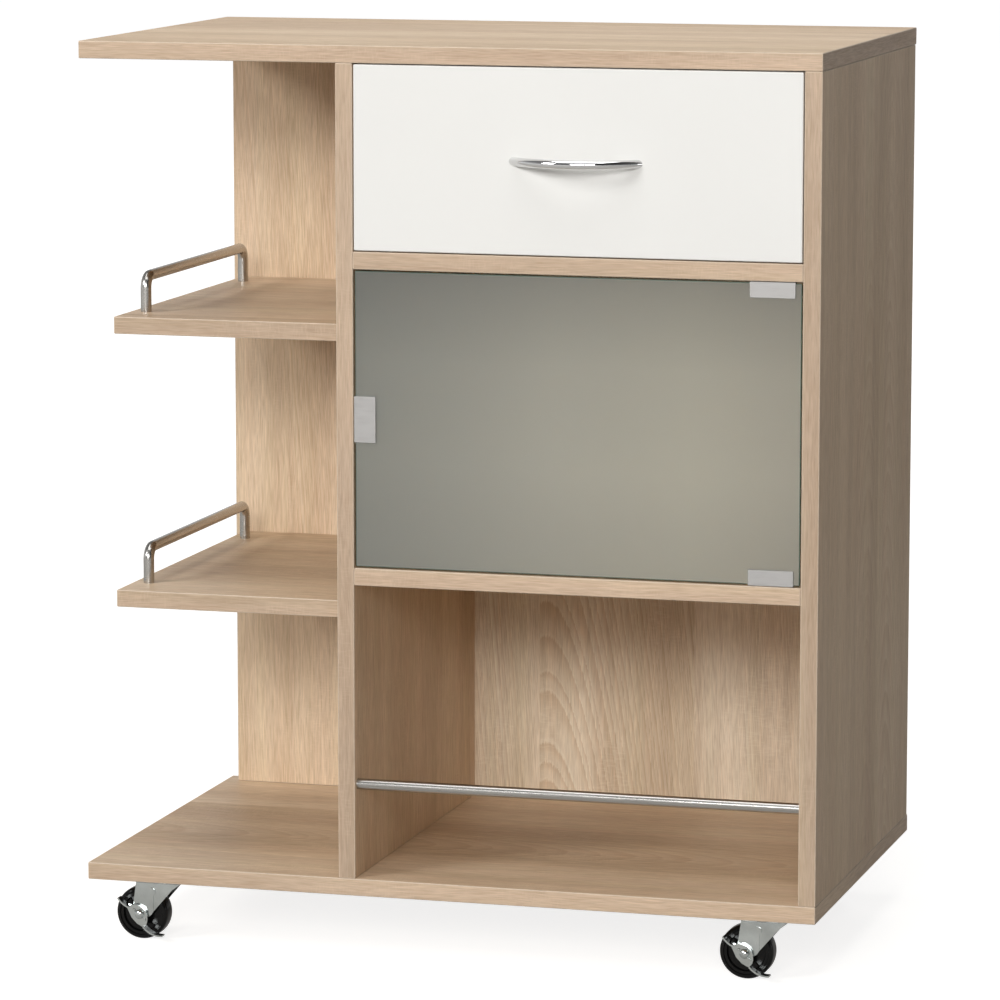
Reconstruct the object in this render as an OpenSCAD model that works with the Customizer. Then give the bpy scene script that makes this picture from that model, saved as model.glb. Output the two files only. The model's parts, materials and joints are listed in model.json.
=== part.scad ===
// Kitchen cart on four casters: open side bays, one drawer, a glass door and an open compartment.
// The cart stands on the floor at z = 0 and its front faces -Y.

/* [Carcass] */
// Width of the worktop and of the base board
board_width = 690; // [650:1:740]
// Depth of the worktop and of the base board
board_depth = 418; // [410:1:470]
// Height from the underside of the base board to the top of the worktop
carcass_height = 777; // [750:1:840]
// Thickness of the chipboard
board_thick = 16; // [15:0.5:19]
// Distance from the back edge of the worktop to the back edges of the uprights
upright_back_inset = 4; // [1:0.5:8]
// Clear width of the cupboard, between the divider and the right side panel
cupboard_width = 414; // [390:1:440]
// Height of the drawer opening
drawer_opening_height = 169; // [160:1:190]
// Height of the door opening
door_opening_height = 272; // [230:1:300]
// Distance from the back edges of the uprights to the front face of the back panel
back_recess = 19; // [17:0.5:24]
// Thickness of the back panel
back_panel_thick = 3; // [2.5:0.5:5]
// Depth of the grooves that hold the back panel
back_groove_depth = 6; // [4:0.5:7]
// Distance from the left edge of the worktop to the board behind the side bays
back_board_inset = 13.5; // [8:0.5:20]

/* [Side bays] */
// Clear height of the lowest side bay
lower_bay_height = 237.5; // [200:0.5:260]
// Clear height of the middle side bay
middle_bay_height = 238; // [200:0.5:250]
// Distance from the left edge of the worktop to the side shelves
side_shelf_inset = 22.5; // [15:0.5:30]
// Distance from the front of the cart to the side shelves
side_shelf_setback = 24; // [10:1:40]

/* [Rails] */
// Diameter of the round bar of the shelf rails
shelf_rail_diameter = 10; // [8:0.5:12]
// Height of a shelf rail above its shelf
shelf_rail_height = 38; // [32:0.5:50]
// Length of a shelf rail over both legs
shelf_rail_length = 290; // [240:1:320]
// Bend radius of a shelf rail, at the middle of the bar
shelf_rail_bend = 11; // [8:0.5:16]
// Distance from the left edge of a side shelf to the middle of its rail
shelf_rail_inset = 15.5; // [10:0.5:25]
// Diameter of the rail across the open compartment
bottom_rail_diameter = 10; // [6:0.5:12]
// Height of that rail above the base board
bottom_rail_height = 87; // [60:1:120]
// Distance from the front of the cart to the middle of that rail
bottom_rail_setback = 9; // [6:0.5:20]
// Depth of the blind holes that hold that rail
rail_socket_depth = 8; // [5:0.5:11]

/* [Drawer] */
// Gap round the drawer front
front_gap = 1; // [0.75:0.25:3]
// Thickness of the drawer front
drawer_front_thick = 16; // [15:0.5:19]
// Thickness of the drawer sides and back
drawer_side_thick = 12; // [10:0.5:15]
// Height of the drawer sides
drawer_side_height = 120; // [90:1:130]
// Thickness of the drawer bottom
drawer_bottom_thick = 3; // [2.5:0.5:5]
// Height of the drawer bottom above the lower edge of the sides
drawer_bottom_rise = 10; // [6:0.5:16]
// Depth of the grooves that hold the drawer bottom
drawer_groove_depth = 5; // [3:0.5:6]
// Height of the drawer sides above the drawer shelf
drawer_side_lift = 9; // [7:0.5:16]

/* [Drawer runners] */
// Width that a runner takes up beside the drawer
runner_space = 12.5; // [12:0.25:15]
// Free space between the drawer and the back panel
drawer_back_space = 29; // [15:1:50]
// Thickness of the runner sheet
runner_sheet = 1.2; // [1:0.1:1.6]
// Distance from the front of the cart to the runners fixed to the cupboard
runner_setback = 19; // [18:0.5:24]
// Diameter of the runner rollers
roller_diameter = 22; // [20:0.5:24]
// Diameter of the pins that carry the rollers
roller_pin_diameter = 4; // [3:0.25:5]
// Distance from the end of a runner to its roller
roller_end_distance = 14; // [13:0.5:20]

/* [Handle] */
// Diameter of the handle bar
handle_diameter = 8; // [7:0.5:10]
// Length of the handle between the middles of its ends
handle_span = 112; // [96:1:128]
// Distance from the drawer front to the middle of the bowed bar
handle_bow = 25; // [22:0.5:32]
// Spacing of the handle screws
handle_screw_spacing = 108; // [94:1:124]
// Depth of the threaded holes in the handle
handle_thread_depth = 5; // [4:0.5:6]

/* [Glass door] */
// Thickness of the glass
glass_thick = 4; // [4:0.5:6]
// Gap round the glass
glass_gap = 1.6; // [1.6:0.1:3]
// Distance from the front of the cart to the glass
glass_setback = 2; // [1.5:0.25:4]
// Length of the hinge clamps
clamp_length = 41; // [32:0.5:50]
// Height of the hinge clamps
clamp_height = 14; // [12:0.5:20]
// Thickness of the clamp sheet
clamp_sheet = 1; // [0.8:0.1:1.3]
// Distance from the edge of the glass to the clamps
clamp_inset = 5.5; // [3:0.5:8]
// Distance from the edge of the glass to the hinge pins
hinge_pin_inset = 14; // [12:0.5:18]
// Distance from the back of the glass to the hinge pins
hinge_pin_offset = 2.5; // [2:0.25:3]
// Diameter of the hinge pins
hinge_pin_diameter = 5; // [4:0.5:6]
// Height of a hinge pin above its clamp
hinge_pin_length = 7; // [5:0.5:8]
// Outer diameter of the hinge bushes
bush_diameter = 10; // [9:0.5:12]
// Width of the strike plate on the glass
strike_width = 19; // [16:0.5:24]
// Height of the strike plate on the glass
strike_height = 42; // [30:0.5:50]

/* [Push latch] */
// Length of the latch body
latch_length = 62; // [50:1:80]
// Width of the latch body
latch_width = 19; // [17:0.5:24]
// Height of the latch body
latch_height = 14; // [12:0.5:18]
// Diameter of the magnetic plunger
plunger_diameter = 8; // [6:0.5:9]
// Travel of the plunger
plunger_travel = 3; // [2:0.25:5]

/* [Casters] */
// Height of a caster
caster_height = 64; // [62:0.5:70]
// Diameter of the wheels
wheel_diameter = 50; // [46:0.5:51]
// Width of the wheel tread
wheel_width = 19; // [17:0.5:21]
// Distance from the swivel axis to the wheel axle
caster_trail = 17.5; // [15:0.5:20]
// Distance from the end of the base board to the swivel axes
caster_side_inset = 55; // [53:1:80]
// Distance from the front and back edges of the base board to the swivel axes
caster_edge_inset = 50; // [47:1:70]
// Side of the square mounting plate
plate_side = 42; // [40:0.5:50]
// Spacing of the screw holes in the mounting plate
plate_screw_spacing = 31; // [30:0.5:36]
// Thickness of the mounting plate
plate_thick = 2; // [1.5:0.1:2.5]
// Thickness of the fork sheet
fork_sheet = 1.6; // [1.4:0.1:2]
// Diameter of the axle
axle_diameter = 6; // [5:0.25:7]
// Diameter of the swivel pin
swivel_pin_diameter = 8; // [7:0.25:9]
// Slope of the brake levers at rest
brake_slope = 35; // [30:1:40]

/* [Hidden] */
$fn = 48;

// Colours
oak = "#cbb79a";
white_front = "#f1f0ea";
steel = "#b9bcbd";
zinc = "#a5adab";
glass_tint = "#8f9488";
black_plastic = "#1b1b1c";
brown_board = "#b79f80";
grey_plastic = "#8d9092";
beech = "#d8b98a";
chrome = "#d6d8d9";

// Fits and clearances
running_fit = 0.05;
seat_gap = 0.3;
cut_over = 1;

// Levels and places, measured from the lower front left corner of the base board
under_top_z = carcass_height - board_thick;
upright_height = under_top_z - board_thick;
upright_depth = board_depth - upright_back_inset;
back_front_y = upright_depth - back_recess;
right_panel_x = board_width - board_thick;
divider_right_x = right_panel_x - cupboard_width;
divider_x = divider_right_x - board_thick;
drawer_shelf_top_z = under_top_z - drawer_opening_height;
drawer_shelf_z = drawer_shelf_top_z - board_thick;
door_shelf_top_z = drawer_shelf_z - door_opening_height;
door_shelf_z = door_shelf_top_z - board_thick;
lower_side_shelf_z = board_thick + lower_bay_height;
upper_side_shelf_z = lower_side_shelf_z + board_thick + middle_bay_height;
side_shelf_width = divider_x - side_shelf_inset;
side_shelf_depth = back_front_y - side_shelf_setback;

// The handle stands out in front, so the whole cart's middle lies in front of the boards' middle
handle_reach = handle_bow + handle_diameter / 2;
corner_x = -board_width / 2;
corner_y = (handle_reach - board_depth) / 2;
corner_z = caster_height;

// Knock-down fittings
cam_radius = 7.5;
cam_depth = 12.5;
cam_offset = 24;
cam_bolt_radius = 2.5;
cam_bolt_grip = 11;
cam_bolt_hole_radius = 3.5;
cam_head_radius = 3;
cam_head_length = 3;
cam_bolt_gap = 0.1;
cam_slot_length = 8;
cam_slot_width = 1.6;
cam_slot_depth = 1;
dowel_radius = 4;
dowel_reach = 14;
dowel_end_gap = 1;
fitting_margin = 60;
base_screw_margin = 40;
confirmat_head_radius = 5;
confirmat_head_height = 3;
confirmat_radius = 3.5;
confirmat_length = 50;
confirmat_socket_radius = 2.3;
confirmat_socket_depth = 2;

// Wood screws
screw_radius = 2;
screw_head_radius = 3.8;
screw_head_height = 2.2;
panel_screw_length = 12;
drawer_screw_length = 9;
side_screw_length = 34;
side_screw_margin = 20;

// Rails
shelf_rail_radius = shelf_rail_diameter / 2;
rail_leg_front_y = side_shelf_setback + (side_shelf_depth - shelf_rail_length) / 2 + shelf_rail_radius;
rail_leg_spacing = shelf_rail_length - shelf_rail_diameter;
rail_axis_x = side_shelf_inset + shelf_rail_inset;
rail_bar_z = shelf_rail_height - shelf_rail_radius;
rail_screw_radius = 2;
rail_screw_head_radius = 4;
rail_screw_head_height = 2.4;
rail_thread_depth = 10;
rail_screw_end_gap = 1;

// Drawer
drawer_front_x = divider_right_x + front_gap;
drawer_front_width = cupboard_width - 2 * front_gap;
drawer_front_z = drawer_shelf_top_z + front_gap;
drawer_front_height = drawer_opening_height - 2 * front_gap;
drawer_left_x = divider_right_x + runner_space;
drawer_width = cupboard_width - 2 * runner_space;
drawer_right_x = drawer_left_x + drawer_width;
drawer_side_z = drawer_shelf_top_z + drawer_side_lift;
drawer_side_length = back_front_y - drawer_front_thick - drawer_back_space;
drawer_back_y = drawer_front_thick + drawer_side_length - drawer_side_thick;
drawer_bottom_z = drawer_side_z + drawer_bottom_rise;
drawer_back_z = drawer_bottom_z + drawer_bottom_thick;
drawer_back_height = drawer_side_height - drawer_bottom_rise - drawer_bottom_thick;
drawer_cam_depth = 9;
drawer_cam_offset = 24;
drawer_cam_margin = 25;
drawer_cam_levels = [drawer_cam_margin, drawer_side_height - drawer_cam_margin];

// Runners, seen from the front on the left side of the drawer; screw places are shares of their length
runner_length = drawer_side_length;
roller_radius = roller_diameter / 2;
roller_pin_radius = roller_pin_diameter / 2;
pin_head_radius = roller_pin_radius + 1;
pin_head_thick = 0.6;
channel_height = roller_diameter + 2 * seat_gap + 2 * runner_sheet;
channel_width = runner_space - runner_sheet - seat_gap;
drawer_flange_lift = 2;
drawer_flange_z = channel_height + drawer_flange_lift;
drawer_flange_gap = 1;
front_roller_z = drawer_flange_z - seat_gap - roller_radius;
rear_roller_z = runner_sheet + seat_gap + roller_radius;
front_roller_y = runner_setback + roller_end_distance;
rear_roller_y = drawer_front_thick + runner_length - roller_end_distance;
channel_entry_gap = 4;
channel_cutback = front_roller_y + roller_radius + channel_entry_gap - runner_setback;
runner_foot = 10;
runner_screw_shares = [0.17, 0.5, 0.86];
drawer_runner_screw_shares = [0.11, 0.44, 0.8];
drawer_runner_screw_z = (drawer_back_z + drawer_side_z + drawer_flange_z) / 2;
runner_screw_head_radius = 2.8;
roller_recess = 0.8;
roller_wall = 2;

// Handle
handle_radius = handle_diameter / 2;
handle_bend_radius = (pow(handle_span / 2, 2) + pow(handle_bow, 2)) / (2 * handle_bow);
handle_middle_x = divider_right_x + cupboard_width / 2;
handle_middle_z = drawer_front_z + drawer_front_height / 2;
handle_end_overrun = 12;
handle_half_angle = asin(handle_span / 2 / handle_bend_radius) + handle_end_overrun;
handle_screw_radius = 1.6;
handle_screw_head_radius = 4;
handle_screw_head_height = 2.5;

// Glass door
glass_x = divider_right_x + glass_gap;
glass_width = cupboard_width - 2 * glass_gap;
glass_z = door_shelf_top_z + glass_gap;
glass_height = door_opening_height - 2 * glass_gap;
glass_right_x = glass_x + glass_width;
clamp_x = glass_right_x - clamp_inset - clamp_length;
hinge_x = glass_right_x - hinge_pin_inset;
hinge_y = glass_setback + glass_thick + hinge_pin_offset;
hinge_pin_radius = hinge_pin_diameter / 2;
hinge_lug_wall = 1.5;
hinge_lug_radius = hinge_pin_radius + hinge_lug_wall;
bush_radius = bush_diameter / 2;
bush_end_thick = 2;
bush_height = hinge_pin_length + bush_end_thick;
strike_z = door_shelf_top_z + (door_opening_height - strike_height) / 2;
strike_middle_z = strike_z + strike_height / 2;
clamp_screw_radius = 2;
clamp_socket_radius = 1;

// Push latch
plunger_radius = plunger_diameter / 2;
plunger_x = divider_right_x + latch_width / 2;
plunger_tip_y = glass_setback + glass_thick + clamp_sheet + seat_gap;
plunger_stub = 3;
latch_y = plunger_tip_y + plunger_travel + plunger_stub;
plunger_length = 40;
latch_ear_height = 12;
latch_ear_thick = 2.5;
latch_ear_length = 20;

// Casters
wheel_radius = wheel_diameter / 2;
axle_radius = axle_diameter / 2;
hub_stand = 0.8;
hub_half_width = wheel_width / 2 + hub_stand;
hub_side_gap = 0.4;
fork_inner_half = hub_half_width + hub_side_gap;
fork_outer_half = fork_inner_half + fork_sheet;
plate_bottom_z = caster_height - plate_thick;
race_height = 3.4;
race_radius = 16;
race_flare = 2;
race_width = 5;
plate_boss_height = 1;
crown_top_z = plate_bottom_z - race_height - seat_gap;
crown_bottom_z = crown_top_z - fork_sheet;
crown_radius = 21;
fork_eye_radius = 7;
swivel_pin_radius = swivel_pin_diameter / 2;
swivel_head_overlap = 3;
swivel_head_radius = swivel_pin_radius + swivel_head_overlap;
swivel_head_thick = 1.6;
swivel_head_z = crown_bottom_z - seat_gap - swivel_head_thick;
rib_height = 0.7;
brake_sheet = 1.4;
brake_front_y = -(fork_outer_half + rib_height + seat_gap);
axle_head_overlap = 1.6;
axle_head_radius = axle_radius + axle_head_overlap;
axle_head_height = 2.6;
braked_axle_end = brake_front_y - brake_sheet - seat_gap;
plain_axle_end = -fork_outer_half;
front_caster_y = caster_edge_inset;
rear_caster_y = board_depth - caster_edge_inset;
left_caster_x = caster_side_inset;
right_caster_x = board_width - caster_side_inset;

// Frames
module from_corner() {
    translate([corner_x, corner_y, corner_z]) children();
}

module at_caster(x, y) {
    translate([corner_x + x, corner_y + y, 0]) children();
}

module at_front_left() { at_caster(left_caster_x, front_caster_y) children(); }
module at_front_right() { at_caster(right_caster_x, front_caster_y) children(); }
module at_rear_left() { at_caster(left_caster_x, rear_caster_y) children(); }
module at_rear_right() { at_caster(right_caster_x, rear_caster_y) children(); }

module board(place, size) {
    translate(place) cube(size);
}

// Countersunk screw along +Z with its head at the bottom, flush with z = 0
module countersunk(radius, length, head_radius, head_height) {
    cylinder(r1 = head_radius, r2 = radius, h = head_height);
    cylinder(r = radius, h = length);
}

// Knock-down fitting: +X points into the board that carries the cam, +Z to the face where the cam opens
module cam_bolt(extra) {
    translate([-cam_bolt_grip, 0, 0]) rotate([0, 90, 0])
        cylinder(r = cam_bolt_radius + extra, h = cam_bolt_grip + cam_offset);
    translate([cam_offset - cam_head_length, 0, 0]) rotate([0, 90, 0])
        cylinder(r = cam_head_radius + extra, h = cam_head_length);
}

module cam_disc(thick, depth) {
    difference() {
        translate([cam_offset, 0, thick / 2 - depth]) cylinder(r = cam_radius, h = depth);
        cam_bolt(cam_bolt_gap);
        for (turn = [45, 135])
            translate([cam_offset, 0, thick / 2 - cam_slot_depth]) rotate([0, 0, turn])
                translate([-cam_slot_length / 2, -cam_slot_width / 2, 0])
                    cube([cam_slot_length, cam_slot_width, cam_slot_depth + cut_over]);
    }
}

module cam_set(thick = board_thick, depth = cam_depth) {
    cam_bolt(0);
    cam_disc(thick, depth);
}

module cam_cut(thick = board_thick, depth = cam_depth) {
    translate([-cam_bolt_grip, 0, 0]) rotate([0, 90, 0])
        cylinder(r = cam_bolt_radius, h = cam_bolt_grip + cut_over);
    rotate([0, 90, 0]) cylinder(r = cam_bolt_hole_radius, h = cam_offset);
    translate([cam_offset, 0, thick / 2 - depth]) cylinder(r = cam_radius, h = depth + cut_over);
}

module dowel(end_gap = 0) {
    translate([-dowel_reach - end_gap, 0, 0]) rotate([0, 90, 0])
        cylinder(r = dowel_radius, h = 2 * (dowel_reach + end_gap));
}

// Joints between boards: child 0 is the cam fitting or its holes, child 1 is the dowel or its hole
module inner_shelf_joints(z) {
    for (y = [fitting_margin, back_front_y - fitting_margin]) {
        translate([divider_right_x, y, z + board_thick / 2]) rotate([180, 0, 0]) children(0);
        translate([right_panel_x, y, z + board_thick / 2]) rotate([0, 180, 0]) children(0);
    }
    for (x = [divider_right_x, right_panel_x])
        translate([x, back_front_y / 2, z + board_thick / 2]) children(1);
}

module side_shelf_joints(z) {
    for (y = [side_shelf_setback + fitting_margin, back_front_y - fitting_margin])
        translate([divider_x, y, z + board_thick / 2]) rotate([0, 180, 0]) children(0);
    translate([divider_x, side_shelf_setback + side_shelf_depth / 2, z + board_thick / 2]) children(1);
    translate([divider_x - side_shelf_width / 2, back_front_y, z + board_thick / 2])
        rotate([180, 0, -90]) children(0);
}

module top_joints() {
    for (y = [fitting_margin, back_front_y - fitting_margin]) {
        translate([divider_x + board_thick / 2, y, under_top_z]) rotate([0, 90, 0]) children(0);
        translate([right_panel_x + board_thick / 2, y, under_top_z]) rotate([180, 90, 0]) children(0);
    }
    for (x = [divider_x + board_thick / 2, right_panel_x + board_thick / 2])
        translate([x, back_front_y / 2, under_top_z]) rotate([0, 90, 0]) children(1);
    translate([(back_board_inset + divider_x) / 2, back_front_y + board_thick / 2, under_top_z])
        rotate([0, 90, 0]) rotate([-90, 0, 0]) children(0);
    for (x = [back_board_inset + fitting_margin / 2, divider_x - fitting_margin / 2])
        translate([x, back_front_y + board_thick / 2, under_top_z]) rotate([0, 90, 0]) children(1);
}

module all_joints() {
    for (z = [drawer_shelf_z, door_shelf_z])
        inner_shelf_joints(z) {
            children(0);
            children(1);
        }
    for (z = [lower_side_shelf_z, upper_side_shelf_z])
        side_shelf_joints(z) {
            children(0);
            children(1);
        }
    top_joints() {
        children(0);
        children(1);
    }
}

module inner_shelf_holes(z) {
    inner_shelf_joints(z) {
        cam_cut();
        dowel(dowel_end_gap);
    }
}

module side_shelf_holes(z) {
    side_shelf_joints(z) {
        cam_cut();
        dowel(dowel_end_gap);
    }
}

module top_holes() {
    top_joints() {
        cam_cut();
        dowel(dowel_end_gap);
    }
}

module base_screw_places() {
    for (x = [divider_x + board_thick / 2, right_panel_x + board_thick / 2])
        for (y = [base_screw_margin, upright_depth - base_screw_margin])
            translate([x, y, 0]) children();
    for (x = [back_board_inset + fitting_margin / 2, divider_x - fitting_margin])
        translate([x, back_front_y + board_thick / 2, 0]) children();
}

module confirmat() {
    countersunk(confirmat_radius, confirmat_length, confirmat_head_radius, confirmat_head_height);
}

// Screws of the cupboard runners, the push latch and the caster plates, each along +Z from its head
module runner_screw_places() {
    for (share = runner_screw_shares)
        translate([0, runner_setback + share * runner_length, drawer_side_z + channel_height / 2]) {
            translate([divider_right_x + runner_sheet, 0, 0]) rotate([0, -90, 0]) children();
            translate([right_panel_x - runner_sheet, 0, 0]) rotate([0, 90, 0]) children();
        }
}

module latch_screw_places() {
    for (side = [-1, 1])
        translate([
            divider_right_x + latch_ear_thick,
            latch_y + latch_length - latch_ear_length / 2,
            strike_middle_z + side * (latch_height + latch_ear_height) / 2
        ]) rotate([0, -90, 0]) children();
}

module plate_screw_places() {
    for (x = [left_caster_x, right_caster_x])
        for (y = [front_caster_y, rear_caster_y])
            for (dx = [-1, 1])
                for (dy = [-1, 1])
                    translate([x, y, -plate_thick])
                        translate([dx * plate_screw_spacing / 2, dy * plate_screw_spacing / 2, 0]) children();
}

module panel_screw() {
    countersunk(screw_radius, panel_screw_length, screw_head_radius, screw_head_height);
}

module side_screw() {
    countersunk(screw_radius, side_screw_length, screw_head_radius, screw_head_height);
}

module drawer_runner_screw() {
    countersunk(screw_radius, drawer_screw_length, runner_screw_head_radius, runner_sheet);
}

function dome_radius(radius, height) = (radius * radius + height * height) / (2 * height);

// Cap of a sphere on z = 0
module domed_head(radius, height) {
    intersection() {
        translate([0, 0, height - dome_radius(radius, height)]) sphere(r = dome_radius(radius, height));
        translate([-2 * radius, -2 * radius, 0]) cube([4 * radius, 4 * radius, 2 * height]);
    }
}

module round_head_screw() {
    cylinder(r = screw_radius, h = panel_screw_length);
    mirror([0, 0, 1]) domed_head(screw_head_radius, screw_head_height);
}

// Boards
module top_board() {
    color(oak) from_corner() difference() {
        board([0, 0, under_top_z], [board_width, board_depth, board_thick]);
        top_holes();
    }
}

module base_board() {
    color(oak) from_corner() difference() {
        board([0, 0, 0], [board_width, board_depth, board_thick]);
        base_screw_places() confirmat();
        plate_screw_places() cylinder(r = screw_radius, h = panel_screw_length);
    }
}

module back_grooves() {
    translate([divider_right_x - back_groove_depth, back_front_y, board_thick - cut_over])
        cube([cupboard_width + 2 * back_groove_depth, back_panel_thick, upright_height + 2 * cut_over]);
}

module bottom_rail_cut() {
    translate([divider_right_x - rail_socket_depth, bottom_rail_setback, board_thick + bottom_rail_height])
        rotate([0, 90, 0]) cylinder(d = bottom_rail_diameter, h = cupboard_width + 2 * rail_socket_depth);
}

module upright_cuts() {
    back_grooves();
    bottom_rail_cut();
    base_screw_places() confirmat();
    top_holes();
    for (z = [drawer_shelf_z, door_shelf_z])
        inner_shelf_holes(z);
    runner_screw_places() panel_screw();
}

module right_side_panel() {
    color(oak) from_corner() difference() {
        board([right_panel_x, 0, board_thick], [board_thick, upright_depth, upright_height]);
        upright_cuts();
    }
}

module divider_panel() {
    color(oak) from_corner() difference() {
        board([divider_x, 0, board_thick], [board_thick, upright_depth, upright_height]);
        upright_cuts();
        for (z = [lower_side_shelf_z, upper_side_shelf_z])
            side_shelf_holes(z);
        latch_screw_places() cylinder(r = screw_radius, h = panel_screw_length);
    }
}

module inner_shelf(z) {
    color(oak) from_corner() difference() {
        board([divider_right_x, 0, z], [cupboard_width, back_front_y, board_thick]);
        inner_shelf_holes(z);
        hinge_bush_places() cylinder(r = bush_radius, h = bush_height);
    }
}

module drawer_shelf() { inner_shelf(drawer_shelf_z); }
module door_shelf() { inner_shelf(door_shelf_z); }

module left_back_board() {
    color(oak) from_corner() difference() {
        board(
            [back_board_inset, back_front_y, board_thick],
            [divider_x - back_board_inset, board_thick, upright_height]
        );
        top_holes();
        for (z = [lower_side_shelf_z, upper_side_shelf_z])
            side_shelf_holes(z);
        base_screw_places() confirmat();
    }
}

module cabinet_back_panel() {
    color(brown_board) from_corner()
        board(
            [divider_right_x - back_groove_depth, back_front_y, board_thick],
            [cupboard_width + 2 * back_groove_depth, back_panel_thick, upright_height]
        );
}

module side_shelf(z) {
    color(oak) from_corner() difference() {
        board([side_shelf_inset, side_shelf_setback, z], [side_shelf_width, side_shelf_depth, board_thick]);
        side_shelf_holes(z);
        rail_screw_places(z) rail_screw(board_thick + cut_over);
    }
}

module upper_side_shelf() { side_shelf(upper_side_shelf_z); }
module lower_side_shelf() { side_shelf(lower_side_shelf_z); }

// Fittings of the carcass; an empty child leaves out the other kind of fitting
module cam_fittings() {
    color(zinc) from_corner() all_joints() {
        cam_set();
        union() {}
    }
}

module wood_dowels() {
    color(beech) from_corner() all_joints() {
        union() {}
        dowel();
    }
}

module base_screws() {
    color(zinc) from_corner() base_screw_places() difference() {
        confirmat();
        cylinder(r = confirmat_socket_radius, h = confirmat_socket_depth, $fn = 6);
    }
}

module panel_screws() {
    color(zinc) from_corner() {
        runner_screw_places() panel_screw();
        latch_screw_places() panel_screw();
        plate_screw_places() round_head_screw();
    }
}

// Rails
module rail_bend() {
    rotate([90, 0, 90]) rotate_extrude(angle = 90)
        translate([shelf_rail_bend, 0]) circle(r = shelf_rail_radius);
}

module shelf_rail(z) {
    color(steel) from_corner() translate([rail_axis_x, rail_leg_front_y, z + board_thick]) difference() {
        union() {
            for (y = [0, rail_leg_spacing])
                translate([0, y, 0]) cylinder(r = shelf_rail_radius, h = rail_bar_z - shelf_rail_bend);
            translate([0, shelf_rail_bend, rail_bar_z]) rotate([-90, 0, 0])
                cylinder(r = shelf_rail_radius, h = rail_leg_spacing - 2 * shelf_rail_bend);
            translate([0, rail_leg_spacing - shelf_rail_bend, rail_bar_z - shelf_rail_bend]) rail_bend();
            translate([0, shelf_rail_bend, rail_bar_z - shelf_rail_bend]) mirror([0, 1, 0]) rail_bend();
        }
        for (y = [0, rail_leg_spacing])
            translate([0, y, -cut_over]) cylinder(r = rail_screw_radius, h = rail_thread_depth + cut_over);
    }
}

module upper_shelf_rail() { shelf_rail(upper_side_shelf_z); }
module lower_shelf_rail() { shelf_rail(lower_side_shelf_z); }

module rail_screw_places(z) {
    for (y = [0, rail_leg_spacing])
        translate([rail_axis_x, rail_leg_front_y + y, z]) children();
}

module rail_screw(length) {
    countersunk(rail_screw_radius, length, rail_screw_head_radius, rail_screw_head_height);
}

module rail_screws() {
    color(zinc) from_corner()
        for (z = [lower_side_shelf_z, upper_side_shelf_z])
            rail_screw_places(z) rail_screw(board_thick + rail_thread_depth - rail_screw_end_gap);
}

module bottom_rail() {
    color(steel) from_corner() bottom_rail_cut();
}

// Drawer
module drawer_cam_places() {
    for (level = drawer_cam_levels) {
        translate([drawer_left_x + drawer_side_thick / 2, drawer_front_thick, drawer_side_z + level])
            rotate([0, 0, 90]) rotate([90, 0, 0]) children();
        translate([drawer_right_x - drawer_side_thick / 2, drawer_front_thick, drawer_side_z + level])
            rotate([0, 0, 90]) rotate([-90, 0, 0]) children();
    }
}

module drawer_side_screw_places() {
    for (level = [drawer_bottom_rise + side_screw_margin, drawer_side_height - side_screw_margin]) {
        translate([drawer_left_x, drawer_back_y + drawer_side_thick / 2, drawer_side_z + level])
            rotate([0, 90, 0]) children();
        translate([drawer_right_x, drawer_back_y + drawer_side_thick / 2, drawer_side_z + level])
            rotate([0, -90, 0]) children();
    }
}

module drawer_runner_screw_places() {
    for (share = drawer_runner_screw_shares)
        translate([0, drawer_front_thick + share * runner_length, drawer_runner_screw_z]) {
            translate([drawer_left_x - runner_sheet, 0, 0]) rotate([0, 90, 0]) children();
            translate([drawer_right_x + runner_sheet, 0, 0]) rotate([0, -90, 0]) children();
        }
}

module drawer_bottom_block() {
    translate([
        drawer_left_x + drawer_side_thick - drawer_groove_depth,
        drawer_front_thick - drawer_groove_depth,
        drawer_bottom_z
    ]) cube([
        drawer_width - 2 * (drawer_side_thick - drawer_groove_depth),
        drawer_side_length + drawer_groove_depth,
        drawer_bottom_thick
    ]);
}

module drawer_front() {
    color(white_front) from_corner() difference() {
        board(
            [drawer_front_x, 0, drawer_front_z],
            [drawer_front_width, drawer_front_thick, drawer_front_height]
        );
        drawer_bottom_block();
        drawer_cam_places() cam_cut(drawer_side_thick, drawer_cam_depth);
        handle_screw_places() cylinder(r = handle_screw_radius, h = drawer_front_thick + 2 * cut_over);
    }
}

module drawer_side_board(x) {
    color(white_front) from_corner() difference() {
        board(
            [x, drawer_front_thick, drawer_side_z],
            [drawer_side_thick, drawer_side_length, drawer_side_height]
        );
        drawer_bottom_block();
        drawer_cam_places() cam_cut(drawer_side_thick, drawer_cam_depth);
        drawer_side_screw_places() side_screw();
        drawer_runner_screw_places() cylinder(r = screw_radius, h = drawer_screw_length);
    }
}

module drawer_left_side() { drawer_side_board(drawer_left_x); }
module drawer_right_side() { drawer_side_board(drawer_right_x - drawer_side_thick); }

module drawer_back() {
    color(white_front) from_corner() difference() {
        board(
            [drawer_left_x + drawer_side_thick, drawer_back_y, drawer_back_z],
            [drawer_width - 2 * drawer_side_thick, drawer_side_thick, drawer_back_height]
        );
        drawer_side_screw_places() cylinder(r = screw_radius, h = side_screw_length);
    }
}

module drawer_bottom() {
    color(white_front) from_corner() drawer_bottom_block();
}

module drawer_cams() {
    color(zinc) from_corner() drawer_cam_places() cam_set(drawer_side_thick, drawer_cam_depth);
}

module drawer_screws() {
    color(zinc) from_corner() {
        drawer_side_screw_places() side_screw();
        drawer_runner_screw_places() drawer_runner_screw();
    }
}

// Handle: one round bar bowed to an arc, with both ends cut flat on the drawer front
module handle_screw_places() {
    for (side = [-1, 1])
        translate([handle_middle_x, drawer_front_thick + cut_over, handle_middle_z])
            translate([side * handle_screw_spacing / 2, 0, 0]) rotate([90, 0, 0]) children();
}

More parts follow.
